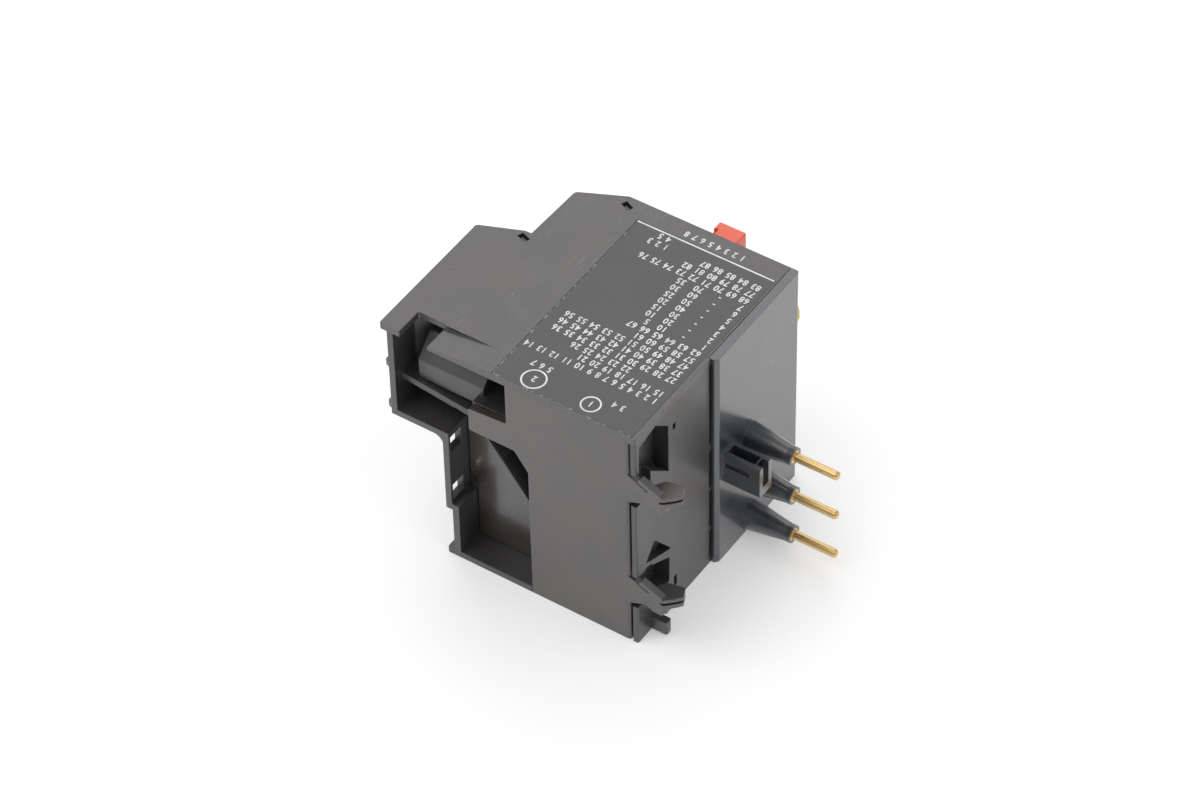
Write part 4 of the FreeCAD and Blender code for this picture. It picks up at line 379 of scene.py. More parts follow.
@dataclass(frozen=True)
class MouldedPlastic:
    """Plastic straight from the mould, with its grain, rubbed edges, specks and dust.

    Sizes are in millimetres and colours are linear.
    """

    name: str
    colour: Colour
    blotch_colour: Colour
    rubbed_colour: Colour = (0.20, 0.19, 0.18)
    speck_colour: Colour = (0.30, 0.12, 0.07)
    dust_colour: Colour = PALE_DUST
    roughness: float = 0.5
    blotch_roughness: float = 0.08
    dust_roughness: float = 0.25
    blotch_size: float = 7.0
    grain_size: float = 0.16
    grain_depth: float = 0.010
    grain_strength: float = 0.6
    edge_radius: float = 0.16
    rubbing: float = 0.5
    speck_share: float = 0.30
    speck_size: float = 1.7
    dust: float = 0.35
    scratching: float = 0.3
    specular: float = 0.5
    coat: float = 0.0
    coat_roughness: float = 0.3

    def material(self, effects: Effects) -> bpy.types.Material:
        """Builds the material.

        Args:
            effects: the shared effects.

        Returns:
            The finished material.
        """
        material, sheet, shader = start_material(self.name)
        place = sheet.group(effects.place, {}).outputs["Place"]
        grain = sheet.group(effects.grain, {"Place": place, "Size": self.grain_size,
                                            "Blotch": self.blotch_size})
        edge = sheet.group(effects.edge, {"Place": place, "Radius": self.edge_radius,
                                          "Amount": self.rubbing})
        specks = sheet.group(effects.specks, {"Place": place, "Size": self.speck_size,
                                              "Share": self.speck_share})
        dust = sheet.group(effects.dust, {"Place": place, "Amount": self.dust})
        scratches = sheet.group(effects.scratches, {"Place": place, "Amount": self.scratching})

        colour = sheet.tint(grain.outputs["Tone"], self.colour, self.blotch_colour)
        colour = sheet.tint(edge.outputs["Mask"], colour, self.rubbed_colour)
        colour = sheet.tint(scratches.outputs["Mask"], colour, self.rubbed_colour)
        colour = sheet.tint(specks.outputs["Mask"], colour,
                            sheet.tint(specks.outputs["Tone"], self.speck_colour, self.dust_colour))
        colour = sheet.tint(dust.outputs["Mask"], colour, self.dust_colour)
        sheet.feed(shader.inputs["Base Color"], colour)

        blotched = sheet.calc("MULTIPLY", grain.outputs["Tone"], self.blotch_roughness)
        dusted = sheet.calc("MULTIPLY", dust.outputs["Mask"], self.dust_roughness)
        rough = sheet.calc("ADD", sheet.calc("ADD", self.roughness, blotched), dusted)
        sheet.feed(shader.inputs["Roughness"], rough)
        shader.inputs["Specular IOR Level"].default_value = self.specular
        shader.inputs["Coat Weight"].default_value = self.coat
        shader.inputs["Coat Roughness"].default_value = self.coat_roughness
        bump = sheet.add("Bump", {"Strength": self.grain_strength, "Distance": self.grain_depth * MM,
                                  "Height": grain.outputs["Height"], "Normal": edge.outputs["Normal"]})
        sheet.feed(shader.inputs["Normal"], bump.outputs[0])
        return material


@dataclass(frozen=True)
class WornMetal:
    """Bare or plated metal with drawing or rolling marks, tarnish and bright rubbed edges."""

    name: str
    colour: Colour
    tarnish_colour: Colour
    bright_colour: Colour
    roughness: float = 0.3
    along: Triple = (0.3, 6.0, 6.0)
    tarnish: float = 0.5
    stain_size: float = 1.6
    stain_roughness: float = 0.25
    mark_roughness: float = 0.06
    rubbing: float = 0.5
    edge_radius: float = 0.12
    mark_depth: float = 0.006
    mark_strength: float = 0.5

    def material(self, effects: Effects) -> bpy.types.Material:
        """Builds the material.

        Args:
            effects: the shared effects.

        Returns:
            The finished material.
        """
        material, sheet, shader = start_material(self.name)
        place = sheet.group(effects.place, {}).outputs["Place"]
        edge = sheet.group(effects.edge, {"Place": place, "Radius": self.edge_radius,
                                          "Amount": self.rubbing})
        marks_place = sheet.add("Mapping", {"Vector": place, "Scale": self.along})
        marks = sheet.add("TexNoise", {"Vector": marks_place.outputs[0], "Scale": 1.0, "Detail": 5.0,
                                       "Roughness": 0.65})
        stain = sheet.spread(sheet.noise(place, self.stain_size, detail=6.0, rough=0.65),
                             low=0.62 - 0.25 * self.tarnish, high=0.85 - 0.2 * self.tarnish)
        brightness = sheet.spread(marks.outputs[0], low=0.3, high=0.7)
        colour = sheet.tint(brightness, self.colour, self.bright_colour)
        colour = sheet.tint(stain, colour, self.tarnish_colour)
        colour = sheet.tint(edge.outputs["Mask"], colour, self.bright_colour)
        sheet.feed(shader.inputs["Base Color"], colour)
        shader.inputs["Metallic"].default_value = 1.0
        rough = sheet.calc("ADD", self.roughness, sheet.calc("MULTIPLY", stain, self.stain_roughness))
        marked = sheet.spread(marks.outputs[0], low=0.2, high=0.8, to_low=-self.mark_roughness,
                              to_high=self.mark_roughness)
        sheet.feed(shader.inputs["Roughness"], sheet.calc("ADD", rough, marked))
        bump = sheet.add("Bump", {"Strength": self.mark_strength, "Distance": self.mark_depth * MM,
                                  "Height": marks.outputs[0], "Normal": edge.outputs["Normal"]})
        sheet.feed(shader.inputs["Normal"], bump.outputs[0])
        return material


@dataclass(frozen=True)
class Ink:
    """White printing, thin and broken where it has worn."""

    name: str
    colour: Colour
    ground_colour: Colour
    roughness: float = 0.42
    wear: float = 0.3
    worn_size: float = 0.22
    scratching: float = 0.8
    show_through: float = 0.25
    blotch_roughness: float = 0.1
    grain_size: float = 0.12
    blotch_size: float = 3.0
    grain_depth: float = 0.004
    grain_strength: float = 0.5

    def material(self, effects: Effects) -> bpy.types.Material:
        """Builds the material.

        Args:
            effects: the shared effects.

        Returns:
            The finished material.
        """
        material, sheet, shader = start_material(self.name)
        place = sheet.group(effects.place, {}).outputs["Place"]
        grain = sheet.group(effects.grain, {"Place": place, "Size": self.grain_size,
                                            "Blotch": self.blotch_size})
        scratches = sheet.group(effects.scratches, {"Place": place, "Amount": self.scratching})
        worn = sheet.spread(sheet.noise(place, self.worn_size, detail=5.0, rough=0.7),
                            low=0.78 - 0.3 * self.wear, high=0.84 - 0.2 * self.wear)
        gone = sheet.calc("MAXIMUM", worn, scratches.outputs["Mask"])
        thin = sheet.calc("MULTIPLY", grain.outputs["Tone"], self.show_through)
        colour = sheet.tint(thin, self.colour, self.ground_colour)
        sheet.feed(shader.inputs["Base Color"], sheet.tint(gone, colour, self.ground_colour))
        blotched = sheet.calc("MULTIPLY", grain.outputs["Tone"], self.blotch_roughness)
        sheet.feed(shader.inputs["Roughness"], sheet.calc("ADD", self.roughness, blotched))
        bump = sheet.add("Bump", {"Strength": self.grain_strength, "Distance": self.grain_depth * MM,
                                  "Height": grain.outputs["Height"]})
        sheet.feed(shader.inputs["Normal"], bump.outputs[0])
        return material


@dataclass(frozen=True)
class Film:
    """Printed film in its seat: dark and smooth, with flaked borders, dust and rub marks."""

    name: str
    colour: Colour
    blotch_colour: Colour
    flake_colour: Colour
    low_corner: Pair
    rub_colour: Colour = (0.16, 0.16, 0.16)
    dust_colour: Colour = PALE_DUST
    roughness: float = 0.36
    blotch_roughness: float = 0.06
    flake_roughness: float = 0.3
    specular: float = 0.8
    dust: float = 0.14
    scratching: float = 0.35
    grain_size: float = 0.3
    blotch_size: float = 9.0
    grain_depth: float = 0.006
    grain_strength: float = 0.35

    def material(self, effects: Effects) -> bpy.types.Material:
        """Builds the material.

        Args:
            effects: the shared effects.

        Returns:
            The finished material.
        """
        material, sheet, shader = start_material(self.name)
        place = sheet.group(effects.place, {}).outputs["Place"]
        grain = sheet.group(effects.grain, {"Place": place, "Size": self.grain_size,
                                            "Blotch": self.blotch_size})
        dust = sheet.group(effects.dust, {"Place": place, "Amount": self.dust})
        scratches = sheet.group(effects.scratches, {"Place": place, "Amount": self.scratching})
        border = sheet.group(effects.border, {"Place": place, "Low X": self.low_corner[0],
                                              "Low Y": self.low_corner[1]})
        colour = sheet.tint(grain.outputs["Tone"], self.colour, self.blotch_colour)
        colour = sheet.tint(scratches.outputs["Mask"], colour, self.rub_colour)
        colour = sheet.tint(dust.outputs["Mask"], colour, self.dust_colour)
        colour = sheet.tint(border.outputs["Mask"], colour, self.flake_colour)
        sheet.feed(shader.inputs["Base Color"], colour)
        blotched = sheet.calc("MULTIPLY", grain.outputs["Tone"], self.blotch_roughness)
        flaked = sheet.calc("MULTIPLY", border.outputs["Mask"], self.flake_roughness)
        rough = sheet.calc("ADD", sheet.calc("ADD", self.roughness, blotched), flaked)
        sheet.feed(shader.inputs["Roughness"], rough)
        shader.inputs["Specular IOR Level"].default_value = self.specular
        bump = sheet.add("Bump", {"Strength": self.grain_strength, "Distance": self.grain_depth * MM,
                                  "Height": grain.outputs["Height"]})
        sheet.feed(shader.inputs["Normal"], bump.outputs[0])
        return material


Finish = MouldedPlastic | WornMetal


def dress(finishes: dict[str, Finish], effects: Effects) -> None:
    """Gives CAD nodes their finishes, with one material for each finish.

    Args:
        finishes: the finish of every node whose name starts with the key.
        effects: the shared effects.
    """
    made: dict[Finish, bpy.types.Material] = {}
    for start, finish in finishes.items():
        if finish not in made:
            made[finish] = finish.material(effects)
        for node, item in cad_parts.items():
            if node.startswith(start):
                item.data.materials.clear()
                item.data.materials.append(made[finish])
                LOG.info("dressed %s", node)


# ---- Shaping -----------------------------------------------------------------------------------


def deselect() -> None:
    """Leaves nothing selected or active."""
    for item in bpy.context.selected_objects:
        item.select_set(False)
    bpy.context.view_layer.objects.active = None


def settle(piece: bpy.types.Object, scale: Triple | Vector, place: Triple | Vector) -> None:
    """Scales and places the active piece, and applies both to its mesh.

    Args:
        piece: the piece.
        scale: its scale along its own axes.
        place: its place in millimetres.
    """
    piece.scale = scale
    piece.location = Vector(place) * MM
    bpy.ops.object.transform_apply(location=True, rotation=True, scale=True)


def soften(piece: bpy.types.Object, width: float, segments: int) -> None:
    """Rounds the edges of the active piece.

    Args:
        piece: the piece.
        width: the bevel's width in millimetres.
        segments: how many steps the bevel has.
    """
    bevel = piece.modifiers.new("soft_rim", "BEVEL")
    bevel.width = width * MM
    bevel.segments = segments
    bpy.ops.object.modifier_apply(modifier=bevel.name)


# ---- Sub-assemblies ----------------------------------------------------------------------------


@dataclass
class Housing:
    """The five moulded pieces of the casing."""

    effects: Effects
    base: MouldedPlastic = MouldedPlastic(
        "base_black", (0.030, 0.029, 0.029), (0.044, 0.041, 0.040), roughness=0.40, dust=0.20,
        scratching=0.5, specular=0.9, coat=0.30, coat_roughness=0.32)
    cover: MouldedPlastic = MouldedPlastic(
        "cover_black", (0.036, 0.033, 0.032), (0.060, 0.053, 0.049), rubbed_colour=(0.30, 0.29, 0.28),
        roughness=0.36, dust=0.20, scratching=0.6, specular=1.0, coat=0.35, coat_roughness=0.34)
    front: MouldedPlastic = MouldedPlastic(
        "front_black", (0.034, 0.034, 0.034), (0.044, 0.043, 0.042), roughness=0.40, dust=0.22, specular=1.0,
        coat=0.30, coat_roughness=0.32)
    plate: MouldedPlastic = MouldedPlastic(
        "plate_black", (0.034, 0.031, 0.029), (0.060, 0.051, 0.046), rubbed_colour=(0.26, 0.25, 0.24),
        roughness=0.34, speck_share=0.35, dust=0.25, scratching=0.6, specular=1.0, coat=0.40,
        coat_roughness=0.28)
    # Painted reflection: the blue in the pin carrier's colour and blotch colour stands in for bluish light
    # mirrored on its face. The plastic itself is plain black.
    carrier: MouldedPlastic = MouldedPlastic(
        "carrier_black_painted_blue_reflection", (0.027, 0.031, 0.037), (0.042, 0.047, 0.054), roughness=0.28, dust=0.24,
        specular=1.0, grain_depth=0.004, scratching=0.5, coat=0.70, coat_roughness=0.14)

    def dress(self) -> None:
        """Gives each moulding its plastic."""
        dress({"housing_base": self.base, "side_cover": self.cover, "front_cover": self.front,
               "rear_latch_plate": self.plate, "pin_carrier": self.carrier}, self.effects)


@dataclass
class RearPocket:
    """The shallow floor of the pocket behind the load terminals, cut off along the edge of the hollow.

    Places are in millimetres from the housing base's lower rear corner at the terminal end.
    """

    effects: Effects
    finish: MouldedPlastic = MouldedPlastic(
        "pocket_black", (0.030, 0.027, 0.025), (0.046, 0.039, 0.035), roughness=0.24, dust=0.2,
        scratching=0.5, speck_share=0.35, grain_depth=0.004, specular=1.0, coat=0.55, coat_roughness=0.12)
    span_x: Pair = (12.10, 26.95)
    span_z: Pair = (1.25, 29.3)
    depth: float = 5.15
    thick: float = 0.9
    rim: float = 0.12
    step: Pair = (13.40, 11.45)
    edge_point: Pair = (15.9, 23.8)
    edge_normal: Pair = (-0.80, -0.60)

    def build(self) -> None:
        """Makes the floor and lets it ride on the housing."""
        corner = Vector(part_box("housing_base")[0])
        deselect()
        bpy.ops.mesh.primitive_plane_add(size=1.0, rotation=(math.radians(90.0), 0.0, 0.0))
        floor = bpy.context.object
        floor.name = "rear_pocket_floor"
        width = self.span_x[1] - self.span_x[0]
        height = self.span_z[1] - self.span_z[0]
        middle = Vector((self.span_x[0] + width / 2, self.depth, self.span_z[0] + height / 2))
        settle(floor, (width * MM, height * MM, 1.0), corner / MM + middle)
        self._split(corner, self.edge_point, self.edge_normal, drop=True)
        self._split(corner, self.step, (0.0, 1.0), drop=False)
        self._split(corner, self.step, (1.0, 0.0), drop=False)
        self._drop_corner(floor, corner)
        bpy.ops.object.mode_set(mode="EDIT")
        bpy.ops.mesh.select_all(action="SELECT")
        bpy.ops.mesh.dissolve_limited()
        bpy.ops.mesh.extrude_region_move(TRANSFORM_OT_translate={"value": (0.0, self.thick * MM, 0.0)})
        bpy.ops.mesh.select_all(action="SELECT")
        bpy.ops.mesh.normals_make_consistent(inside=False)
        bpy.ops.object.mode_set(mode="OBJECT")
        soften(floor, self.rim, segments=3)
        floor.data.materials.append(self.finish.material(self.effects))
        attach(floor, "housing")
        LOG.info("built %s", floor.name)

    def _split(self, corner: Vector, point: Pair, normal: Pair, drop: bool) -> None:
        """Cuts the flat sheet, which is the active piece, along a straight line.

        Args:
            corner: the corner that places are measured from, in metres.
            point: a point of the line, along X and Z.
            normal: the line's normal, along X and Z.
            drop: whether the side that the normal turns away from is removed.
        """
        bpy.ops.object.mode_set(mode="EDIT")
        bpy.ops.mesh.select_all(action="SELECT")
        bpy.ops.mesh.bisect(plane_co=corner + Vector((point[0], 0.0, point[1])) * MM,
                            plane_no=(normal[0], 0.0, normal[1]), clear_inner=drop)
        bpy.ops.object.mode_set(mode="OBJECT")

    def _drop_corner(self, floor: bpy.types.Object, corner: Vector) -> None:
        """Removes the part of the sheet where the end wall is set back.

        Args:
            floor: the sheet.
            corner: the corner that places are measured from, in metres.
        """
        bpy.context.tool_settings.mesh_select_mode = (False, False, True)
        for part in (*floor.data.vertices, *floor.data.edges):
            part.select = False
        for face in floor.data.polygons:
            place = (face.center - corner) / MM
            face.select = place.x < self.step[0] and place.z < self.step[1]
        bpy.ops.object.mode_set(mode="EDIT")
        bpy.ops.mesh.delete(type="FACE")
        bpy.ops.object.mode_set(mode="OBJECT")


@dataclass(frozen=True)
class PrintRow:
    """A row of plain numbers; its place is in millimetres from the label's rear contactor-side corner."""

    text: str
    back: float
    along: float = 1.0


@dataclass(frozen=True)
class PrintRing:
    """A ring printed round a number, with its centre given as a row's place is."""

    back: float
    along: float
    radius: float


@dataclass
class LabelPrint:
    """The film in the side cover's seat, and the white numbers, rule and rings printed on it.

    Sizes are in millimetres, and depths are below the side cover's face.
    """

    effects: Effects
    corner_inset: Pair = (0.8, 0.3)
    size: Pair = (25.5, 40.3)
    film_gap: float = 0.05
    film_depth: float = 0.03
    film_thick: float = 0.085
    film_corner: float = 0.5
    film_rim: float = 0.02
    letter: float = 1.72
    letter_middle: float = 0.36
    letter_spacing: float = 1.12
    word_spacing: float = 1.25
    bolder: float = 0.030
    squeeze: float = 0.88
    ink_half: float = 0.006
    ink_lift: float = 0.002
    first_row: float = 8.3
    pitch: float = 1.706
    upper_rows: tuple[int, ...] = (14, 7, 5, 10, 10, 10, 5, 6)
    lower_rows: tuple[int, ...] = (9, 6, 5)
    indented_row: int = 2
    indent: float = 8.0
    table_rows: int = 7
    table: tuple[tuple[int, float], ...] = ((1, 1.0), (0, 5.0), (10, 8.2), (5, 11.4))
    loose_rows: tuple[PrintRow, ...] = (
        PrintRow("1 2 3", 37.302, 18.0), PrintRow("4 5", 39.008, 18.6),
        PrintRow("1 2 3 4 5 6 7 8", 41.6, 6.6), PrintRow("1", 2.6, 8.75), PrintRow("2", 2.4, 18.9),
        PrintRow("3 4", 4.4, 4.2), PrintRow("5 6 7", 5.3, 18.0))
    rings: tuple[PrintRing, ...] = (PrintRing(2.6, 9.1, 1.55), PrintRing(2.4, 19.3, 1.95))
    ring_line: float = 0.14
    ring_flatness: float = 0.04
    ring_depth: float = 0.024
    rule_inset: float = 0.15
    rule_from_front: float = 0.25
    rule_wide: float = 0.30
    rule_thick: float = 0.012
    rule_depth: float = 0.026
    rule_rim: float = 0.004
    right: float = field(init=False)
    rear: float = field(init=False)
    top: float = field(init=False)

    def __post_init__(self) -> None:
        """Finds the seat's rear contactor-side corner on the side cover."""
        low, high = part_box("side_cover")
        self.right = high[0] / MM - self.corner_inset[0]
        self.rear = low[1] / MM + self.corner_inset[1]
        self.top = high[2] / MM

    def build(self) -> None:
        """Makes the film and the printing, and lets them ride on the housing."""
        film = self._film()
        finish = Film("label_film", (0.040, 0.040, 0.043), (0.052, 0.052, 0.055), (0.55, 0.54, 0.52),
                      low_corner=(self.right - self.size[0], self.rear))
        film.data.materials.append(finish.material(self.effects))
        ink = self._ink()
        white = Ink("label_ink", (0.93, 0.93, 0.91), (0.16, 0.16, 0.16))
        ink.data.materials.append(white.material(self.effects))
        for piece in (film, ink):
            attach(piece, "housing")
            LOG.info("built %s", piece.name)

    def _place(self, back: float, along: float, depth: float) -> Vector:
        """A point of the label in the frame, in millimetres.

        Args:
            back: how far it is from the rear border.
            along: how far it is from the contactor-side border.
            depth: how far it is below the cover's face.

        Returns:
            The point.
        """
        return Vector((self.right - along, self.rear + back, self.top - depth))

    def _film(self) -> bpy.types.Object:
        """A thin sheet with softened corners and edges."""
        deselect()
        bpy.ops.mesh.primitive_plane_add(size=1.0)
        film = bpy.context.object
        film.name = "label_film"
        width, length = ((side - 2 * self.film_gap) * MM for side in self.size)
        settle(film, (width, length, 1.0),
               self._place(self.size[1] / 2, self.size[0] / 2, self.film_depth + self.film_thick))
        bpy.ops.object.mode_set(mode="EDIT")
        bpy.ops.mesh.select_all(action="SELECT")
        bpy.ops.mesh.bevel(offset=self.film_corner * MM, segments=4, affect="VERTICES")
        bpy.ops.mesh.select_all(action="SELECT")
        bpy.ops.mesh.extrude_region_move(TRANSFORM_OT_translate={"value": (0.0, 0.0, self.film_thick * MM)})
        bpy.ops.object.mode_set(mode="OBJECT")
        soften(film, self.film_rim, segments=2)
        return film

    def _counting(self, number: int, lengths: tuple[int, ...], first: int) -> list[PrintRow]:
        """Rows of numbers that count on from one row to the next.

        Args:
            number: the first number.
            lengths: how many numbers each row has.
            first: which row of the label they start at.

        Returns:
            The rows.
        """
        rows = []
        for row, length in enumerate(lengths, first):
            words = " ".join(str(number + step) for step in range(length))
            number += length
            along = self.indent if row == self.indented_row else 1.0
            rows.append(PrintRow(words, self.first_row + row * self.pitch, along))
        return rows

    def _rows(self) -> list[PrintRow]:
        """All rows: the upper block, the table, whose step of 0 is a dash, the lower block and the rest."""
        rows = self._counting(1, self.upper_rows, 0)
        first = len(self.upper_rows)
        for line in range(self.table_rows):
            back = self.first_row + (first + line) * self.pitch
            rows.extend(PrintRow(str((line + 1) * step) if step else "-", back, along)
                        for step, along in self.table)
        rows.extend(self._counting(1 + sum(self.upper_rows), self.lower_rows, first + self.table_rows))
        rows.extend(self.loose_rows)
        return rows

    def _row_mesh(self, row: PrintRow) -> bpy.types.Object:
        """Sets one row of numbers as a thin raised print.

        Args:
            row: the row.

        Returns:
            The row as a mesh object.
        """
        deselect()
        bpy.ops.object.text_add()
        words = bpy.context.object.data
        words.body = row.text
        words.size = self.letter * MM
        words.extrude = self.ink_half * MM
        words.resolution_u = 3
        words.offset = self.bolder * MM
        words.space_character = self.letter_spacing
        words.space_word = self.word_spacing
        bpy.ops.object.convert(target="MESH")
        item = bpy.context.object
        item.rotation_euler = (0.0, 0.0, math.pi)
        depth = 0.0 if row.back > self.size[1] else self.film_depth
        settle(item, (self.squeeze, 1.0, 1.0),
               self._place(row.back + self.letter_middle * self.letter, row.along, depth - self.ink_lift))
        return item

    def _rule(self) -> bpy.types.Object:
        """The long rule along the film's front border."""
        deselect()
        bpy.ops.mesh.primitive_cube_add(size=1.0)
        rule = bpy.context.object
        settle(rule, Vector((self.size[0] - 2 * self.rule_inset, self.rule_wide, self.rule_thick)) * MM,
               self._place(self.size[1] - self.rule_from_front, self.size[0] / 2, self.rule_depth))
        soften(rule, self.rule_rim, segments=1)
        return rule

    def _ring(self, spot: PrintRing) -> bpy.types.Object:
        """A printed ring.

        Args:
            spot: its centre and radius.

        Returns:
            The ring.
        """
        deselect()
        bpy.ops.mesh.primitive_torus_add(major_radius=spot.radius * MM, minor_radius=self.ring_line * MM,
                                         major_segments=56, minor_segments=8)
        ring = bpy.context.object
        settle(ring, (1.0, 1.0, self.ring_flatness), self._place(spot.back, spot.along, self.ring_depth))
        return ring

    def _ink(self) -> bpy.types.Object:
        """All the printing as one piece."""
        pieces = [self._row_mesh(row) for row in self._rows()]
        pieces.append(self._rule())
        pieces.extend(self._ring(spot) for spot in self.rings)
        deselect()
        for piece in pieces:
            piece.select_set(True)
        bpy.context.view_layer.objects.active = pieces[0]
        bpy.ops.object.join()
        ink = bpy.context.object
        ink.name = "label_print"
        return ink


@dataclass
class Controls:
    """The knob, both buttons and the flag."""

    effects: Effects

    def dress(self) -> None:
        """Gives each control its coloured plastic."""
        yellow = MouldedPlastic("dial_yellow", (0.90, 0.62, 0.16), (0.84, 0.56, 0.13), roughness=0.35,
                                rubbed_colour=(0.92, 0.75, 0.4), speck_share=0.04, dust=0.2)
        red = MouldedPlastic("button_red", (0.97, 0.19, 0.12), (0.92, 0.16, 0.10), roughness=0.35,
                             rubbed_colour=(0.95, 0.3, 0.22), speck_share=0.03, dust=0.15)
        blue = MouldedPlastic("button_blue", (0.04, 0.13, 0.45), (0.04, 0.11, 0.40), roughness=0.35,
                              rubbed_colour=(0.2, 0.3, 0.6), speck_share=0.03, dust=0.15)
        green = MouldedPlastic("flag_green", (0.10, 0.45, 0.16), (0.09, 0.40, 0.14), roughness=0.45,
                               speck_share=0.0)
        dress({"setting_dial": yellow, "stop_button": red, "reset_button": blue, "trip_flag": green},
              self.effects)


@dataclass
class MetalWork:
    """Pins, terminals, clamps, screws, levers, leaves, strips and springs."""

    effects: Effects

    def dress(self) -> None:
        """Gives each metal piece its own metal."""
        pin = WornMetal("pin_brass", (0.64, 0.42, 0.16), (0.34, 0.21, 0.09), (0.80, 0.59, 0.30),
                        roughness=0.27, tarnish=0.15, mark_depth=0.002)
        bar = WornMetal("terminal_brass", (0.62, 0.45, 0.20), (0.30, 0.20, 0.09), (0.86, 0.70, 0.40),
                        along=(5.0, 5.0, 0.4), tarnish=0.3)
        clamp = WornMetal("clamp_steel", (0.56, 0.55, 0.50), (0.34, 0.30, 0.22), (0.80, 0.79, 0.75),
                          along=(4.0, 4.0, 0.5), tarnish=0.3)
        screw = WornMetal("screw_nickel", (0.62, 0.60, 0.55), (0.35, 0.31, 0.24), (0.86, 0.85, 0.81),
                          along=(5.0, 1.0, 5.0), tarnish=0.25)
        strip = WornMetal("bimetal", (0.50, 0.48, 0.45), (0.30, 0.25, 0.20), (0.70, 0.68, 0.64), tarnish=0.4)
        leaf = WornMetal("leaf_bronze", (0.62, 0.36, 0.18), (0.34, 0.18, 0.09), (0.84, 0.58, 0.36))
        lever = WornMetal("lever_steel", (0.50, 0.50, 0.49), (0.30, 0.28, 0.25), (0.74, 0.74, 0.73),
                          tarnish=0.3)
        wire = WornMetal("spring_wire", (0.52, 0.52, 0.51), (0.28, 0.27, 0.25), (0.78, 0.78, 0.77),
                         roughness=0.22)
        heater = WornMetal("heater_wire", (0.34, 0.31, 0.27), (0.18, 0.14, 0.10), (0.52, 0.49, 0.44),
                           roughness=0.4)
        dress({"contact_pin": pin, "load_terminal": bar, "aux_terminal": bar, "load_clamp": clamp,
               "aux_clamp": clamp, "load_screw": screw, "aux_screw": screw, "bimetal_strip": strip,
               "contact_leaf": leaf, "compensation_lever": lever, "trip_latch": lever,
               "setting_lever": lever, "stop_spring": wire, "reset_spring": wire,
               "heater_winding": heater}, self.effects)


@dataclass
class InnerMouldings:
    """Comb, sliders, differential lever and contact carrier."""

    effects: Effects

    def dress(self) -> None:
        """Gives each inner moulding its plastic."""
        comb = MouldedPlastic("comb_brown", (0.20, 0.10, 0.05), (0.24, 0.13, 0.07), roughness=0.5)
        ivory = MouldedPlastic("slider_ivory", (0.62, 0.57, 0.44), (0.58, 0.52, 0.40), roughness=0.42)
        dress({"bimetal_carrier": comb, "trip_slider": ivory, "differential_slider": ivory,
               "differential_lever": ivory, "contact_carrier": ivory}, self.effects)


# ---- Studio ------------------------------------------------------------------------------------


@dataclass(frozen=True)
class Lamp:
    """A square soft box: the side it stands on in degrees, its height and size in metres, its watts."""

    name: str
    azimuth: float
    height: float
    size: float
    power: float
    colour: Colour


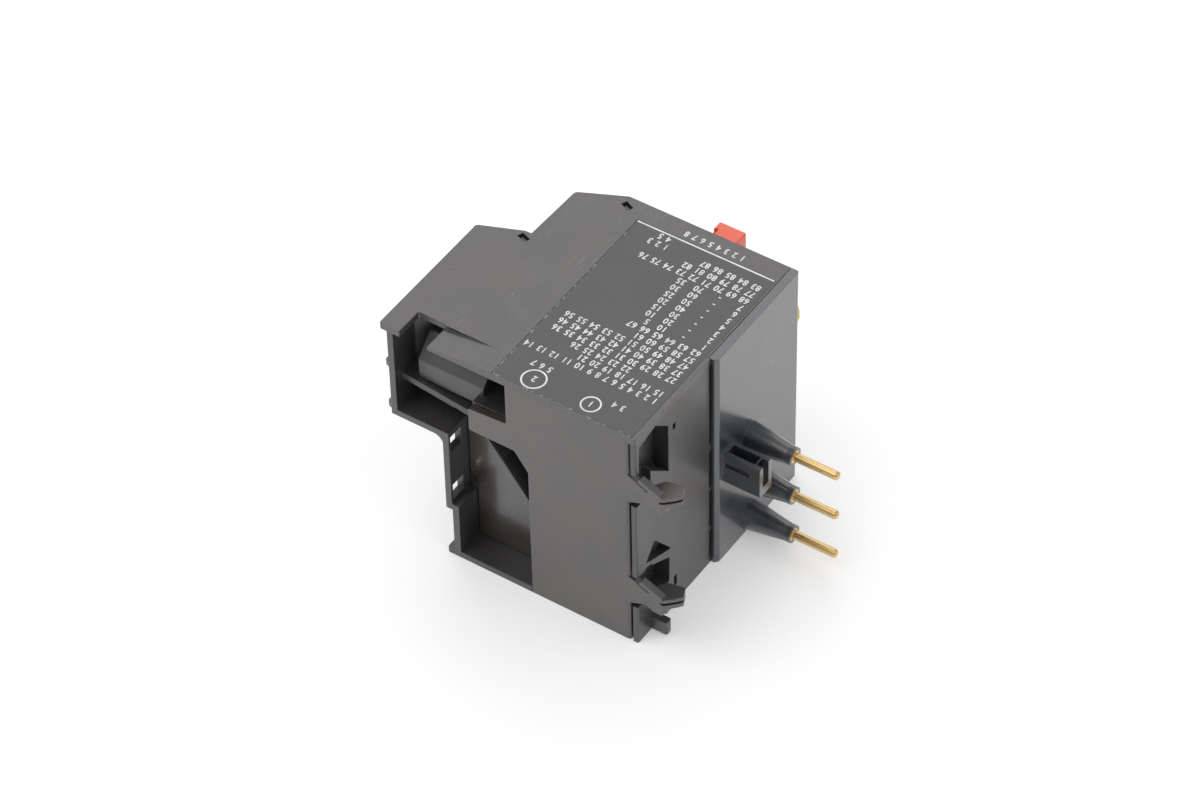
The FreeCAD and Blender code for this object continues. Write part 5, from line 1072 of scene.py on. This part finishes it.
@dataclass
class Studio:
    """Floor, lamps, world and camera; distances are in metres and the lens in millimetres."""

    azimuth: float = 34.69
    elevation: float = 45.21
    roll: float = -1.34
    distance: float = 0.7473
    aim_right: float = -0.00735
    aim_up: float = 0.00148
    lens: float = 143.25
    sensor: float = 36.0
    floor_size: float = 4.0
    floor_colour: Colour = (0.9, 0.9, 0.9)
    floor_roughness: float = 0.9
    floor_specular: float = 0.1
    floor_glow: float = 0.30
    fill: float = 0.50
    lamp_distance: float = 0.6
    lamps: tuple[Lamp, ...] = (
        Lamp("key", -40.0, 0.95, 0.9, 3.4, (1.0, 0.975, 0.95)),
        Lamp("side", 100.0, 0.6, 0.7, 1.1, (0.90, 0.95, 1.0)),
        Lamp("sheen", 214.7, 0.62, 0.8, 2.1, (1.0, 1.0, 1.0)))

    def build(self) -> None:
        """Makes the floor, the lamps, the world and the camera."""
        self._floor()
        self._lamps()
        self._world()
        self._camera()

    def _centre(self) -> Vector:
        """The middle of the relay's box."""
        low, high = CAD_BOX
        return (Vector(low) + Vector(high)) / 2

    def _axes(self) -> Matrix:
        """The camera's rotation."""
        return (Matrix.Rotation(math.radians(self.azimuth), 3, "Z")
                @ Matrix.Rotation(math.radians(90 - self.elevation), 3, "X")
                @ Matrix.Rotation(math.radians(self.roll), 3, "Z"))

    def _floor(self) -> None:
        """A large pale floor that looks white to the camera and keeps the shadow."""
        deselect()
        bpy.ops.mesh.primitive_plane_add(size=self.floor_size)
        floor = bpy.context.object
        floor.name = "floor"
        material, sheet, shader = start_material("floor_white")
        shader.inputs["Base Color"].default_value = (*self.floor_colour, 1.0)
        shader.inputs["Roughness"].default_value = self.floor_roughness
        shader.inputs["Specular IOR Level"].default_value = self.floor_specular
        ray = sheet.add("LightPath")
        glow = sheet.add("Emission", {"Color": (1.0, 1.0, 1.0), "Strength": self.floor_glow})
        none = sheet.add("Emission", {"Strength": 0.0})
        seen = sheet.calc("MAXIMUM", ray.outputs["Is Camera Ray"], ray.outputs["Is Glossy Ray"])
        choice = sheet.add("MixShader", {0: seen, 1: none.outputs[0], 2: glow.outputs[0]})
        both = sheet.add("AddShader", {0: shader.outputs[0], 1: choice.outputs[0]})
        out = material.node_tree.nodes["Material Output"]
        sheet.feed(out.inputs["Surface"], both.outputs[0])
        floor.data.materials.append(material)

    def _lamps(self) -> None:
        """Wide soft boxes above and to the sides."""
        centre = self._centre()
        for box in self.lamps:
            lamp = bpy.data.lights.new(box.name, "AREA")
            lamp.size = box.size
            lamp.energy = box.power
            lamp.color = box.colour
            item = bpy.data.objects.new(box.name, lamp)
            bpy.context.scene.collection.objects.link(item)
            turn = math.radians(box.azimuth)
            item.location = centre + Vector((math.sin(turn) * self.lamp_distance,
                                             -math.cos(turn) * self.lamp_distance, box.height))
            item.rotation_euler = (centre - item.location).to_track_quat("-Z", "Y").to_euler()

    def _world(self) -> None:
        """Even white surroundings, brighter where they are seen directly or by transmission rays."""
        world = bpy.data.worlds.new("surroundings")
        bpy.context.scene.world = world
        world.use_nodes = True
        sheet = Sheet(world.node_tree)
        ray = sheet.add("LightPath")
        seen = sheet.calc("MAXIMUM", ray.outputs["Is Camera Ray"], ray.outputs["Is Transmission Ray"])
        power = sheet.add("MapRange", {0: seen, 3: self.fill, 4: 1.0})
        sheet.feed(world.node_tree.nodes["Background"].inputs["Strength"], power.outputs[0])
        world.node_tree.nodes["Background"].inputs["Color"].default_value = (1, 1, 1, 1)

    def _camera(self) -> None:
        """A long lens that looks down on the pins and the back."""
        axes = self._axes()
        aim = self._centre() + axes @ Vector((self.aim_right, self.aim_up, 0.0))
        camera = bpy.data.cameras.new("camera")
        camera.lens = self.lens
        camera.sensor_width = self.sensor
        item = bpy.data.objects.new("camera", camera)
        bpy.context.scene.collection.objects.link(item)
        item.matrix_world = Matrix.Translation(aim + axes @ Vector((0, 0, self.distance))) @ axes.to_4x4()
        bpy.context.scene.camera = item


def main() -> None:
    """Builds and dresses everything in order."""
    logging.basicConfig(level=logging.INFO, format="%(message)s")
    bpy.context.scene.view_settings.view_transform = "Standard"
    effects = Effects()
    Housing(effects).dress()
    RearPocket(effects).build()
    LabelPrint(effects).build()
    Controls(effects).dress()
    MetalWork(effects).dress()
    InnerMouldings(effects).dress()
    Studio().build()


if __name__ == "__main__":
    main()
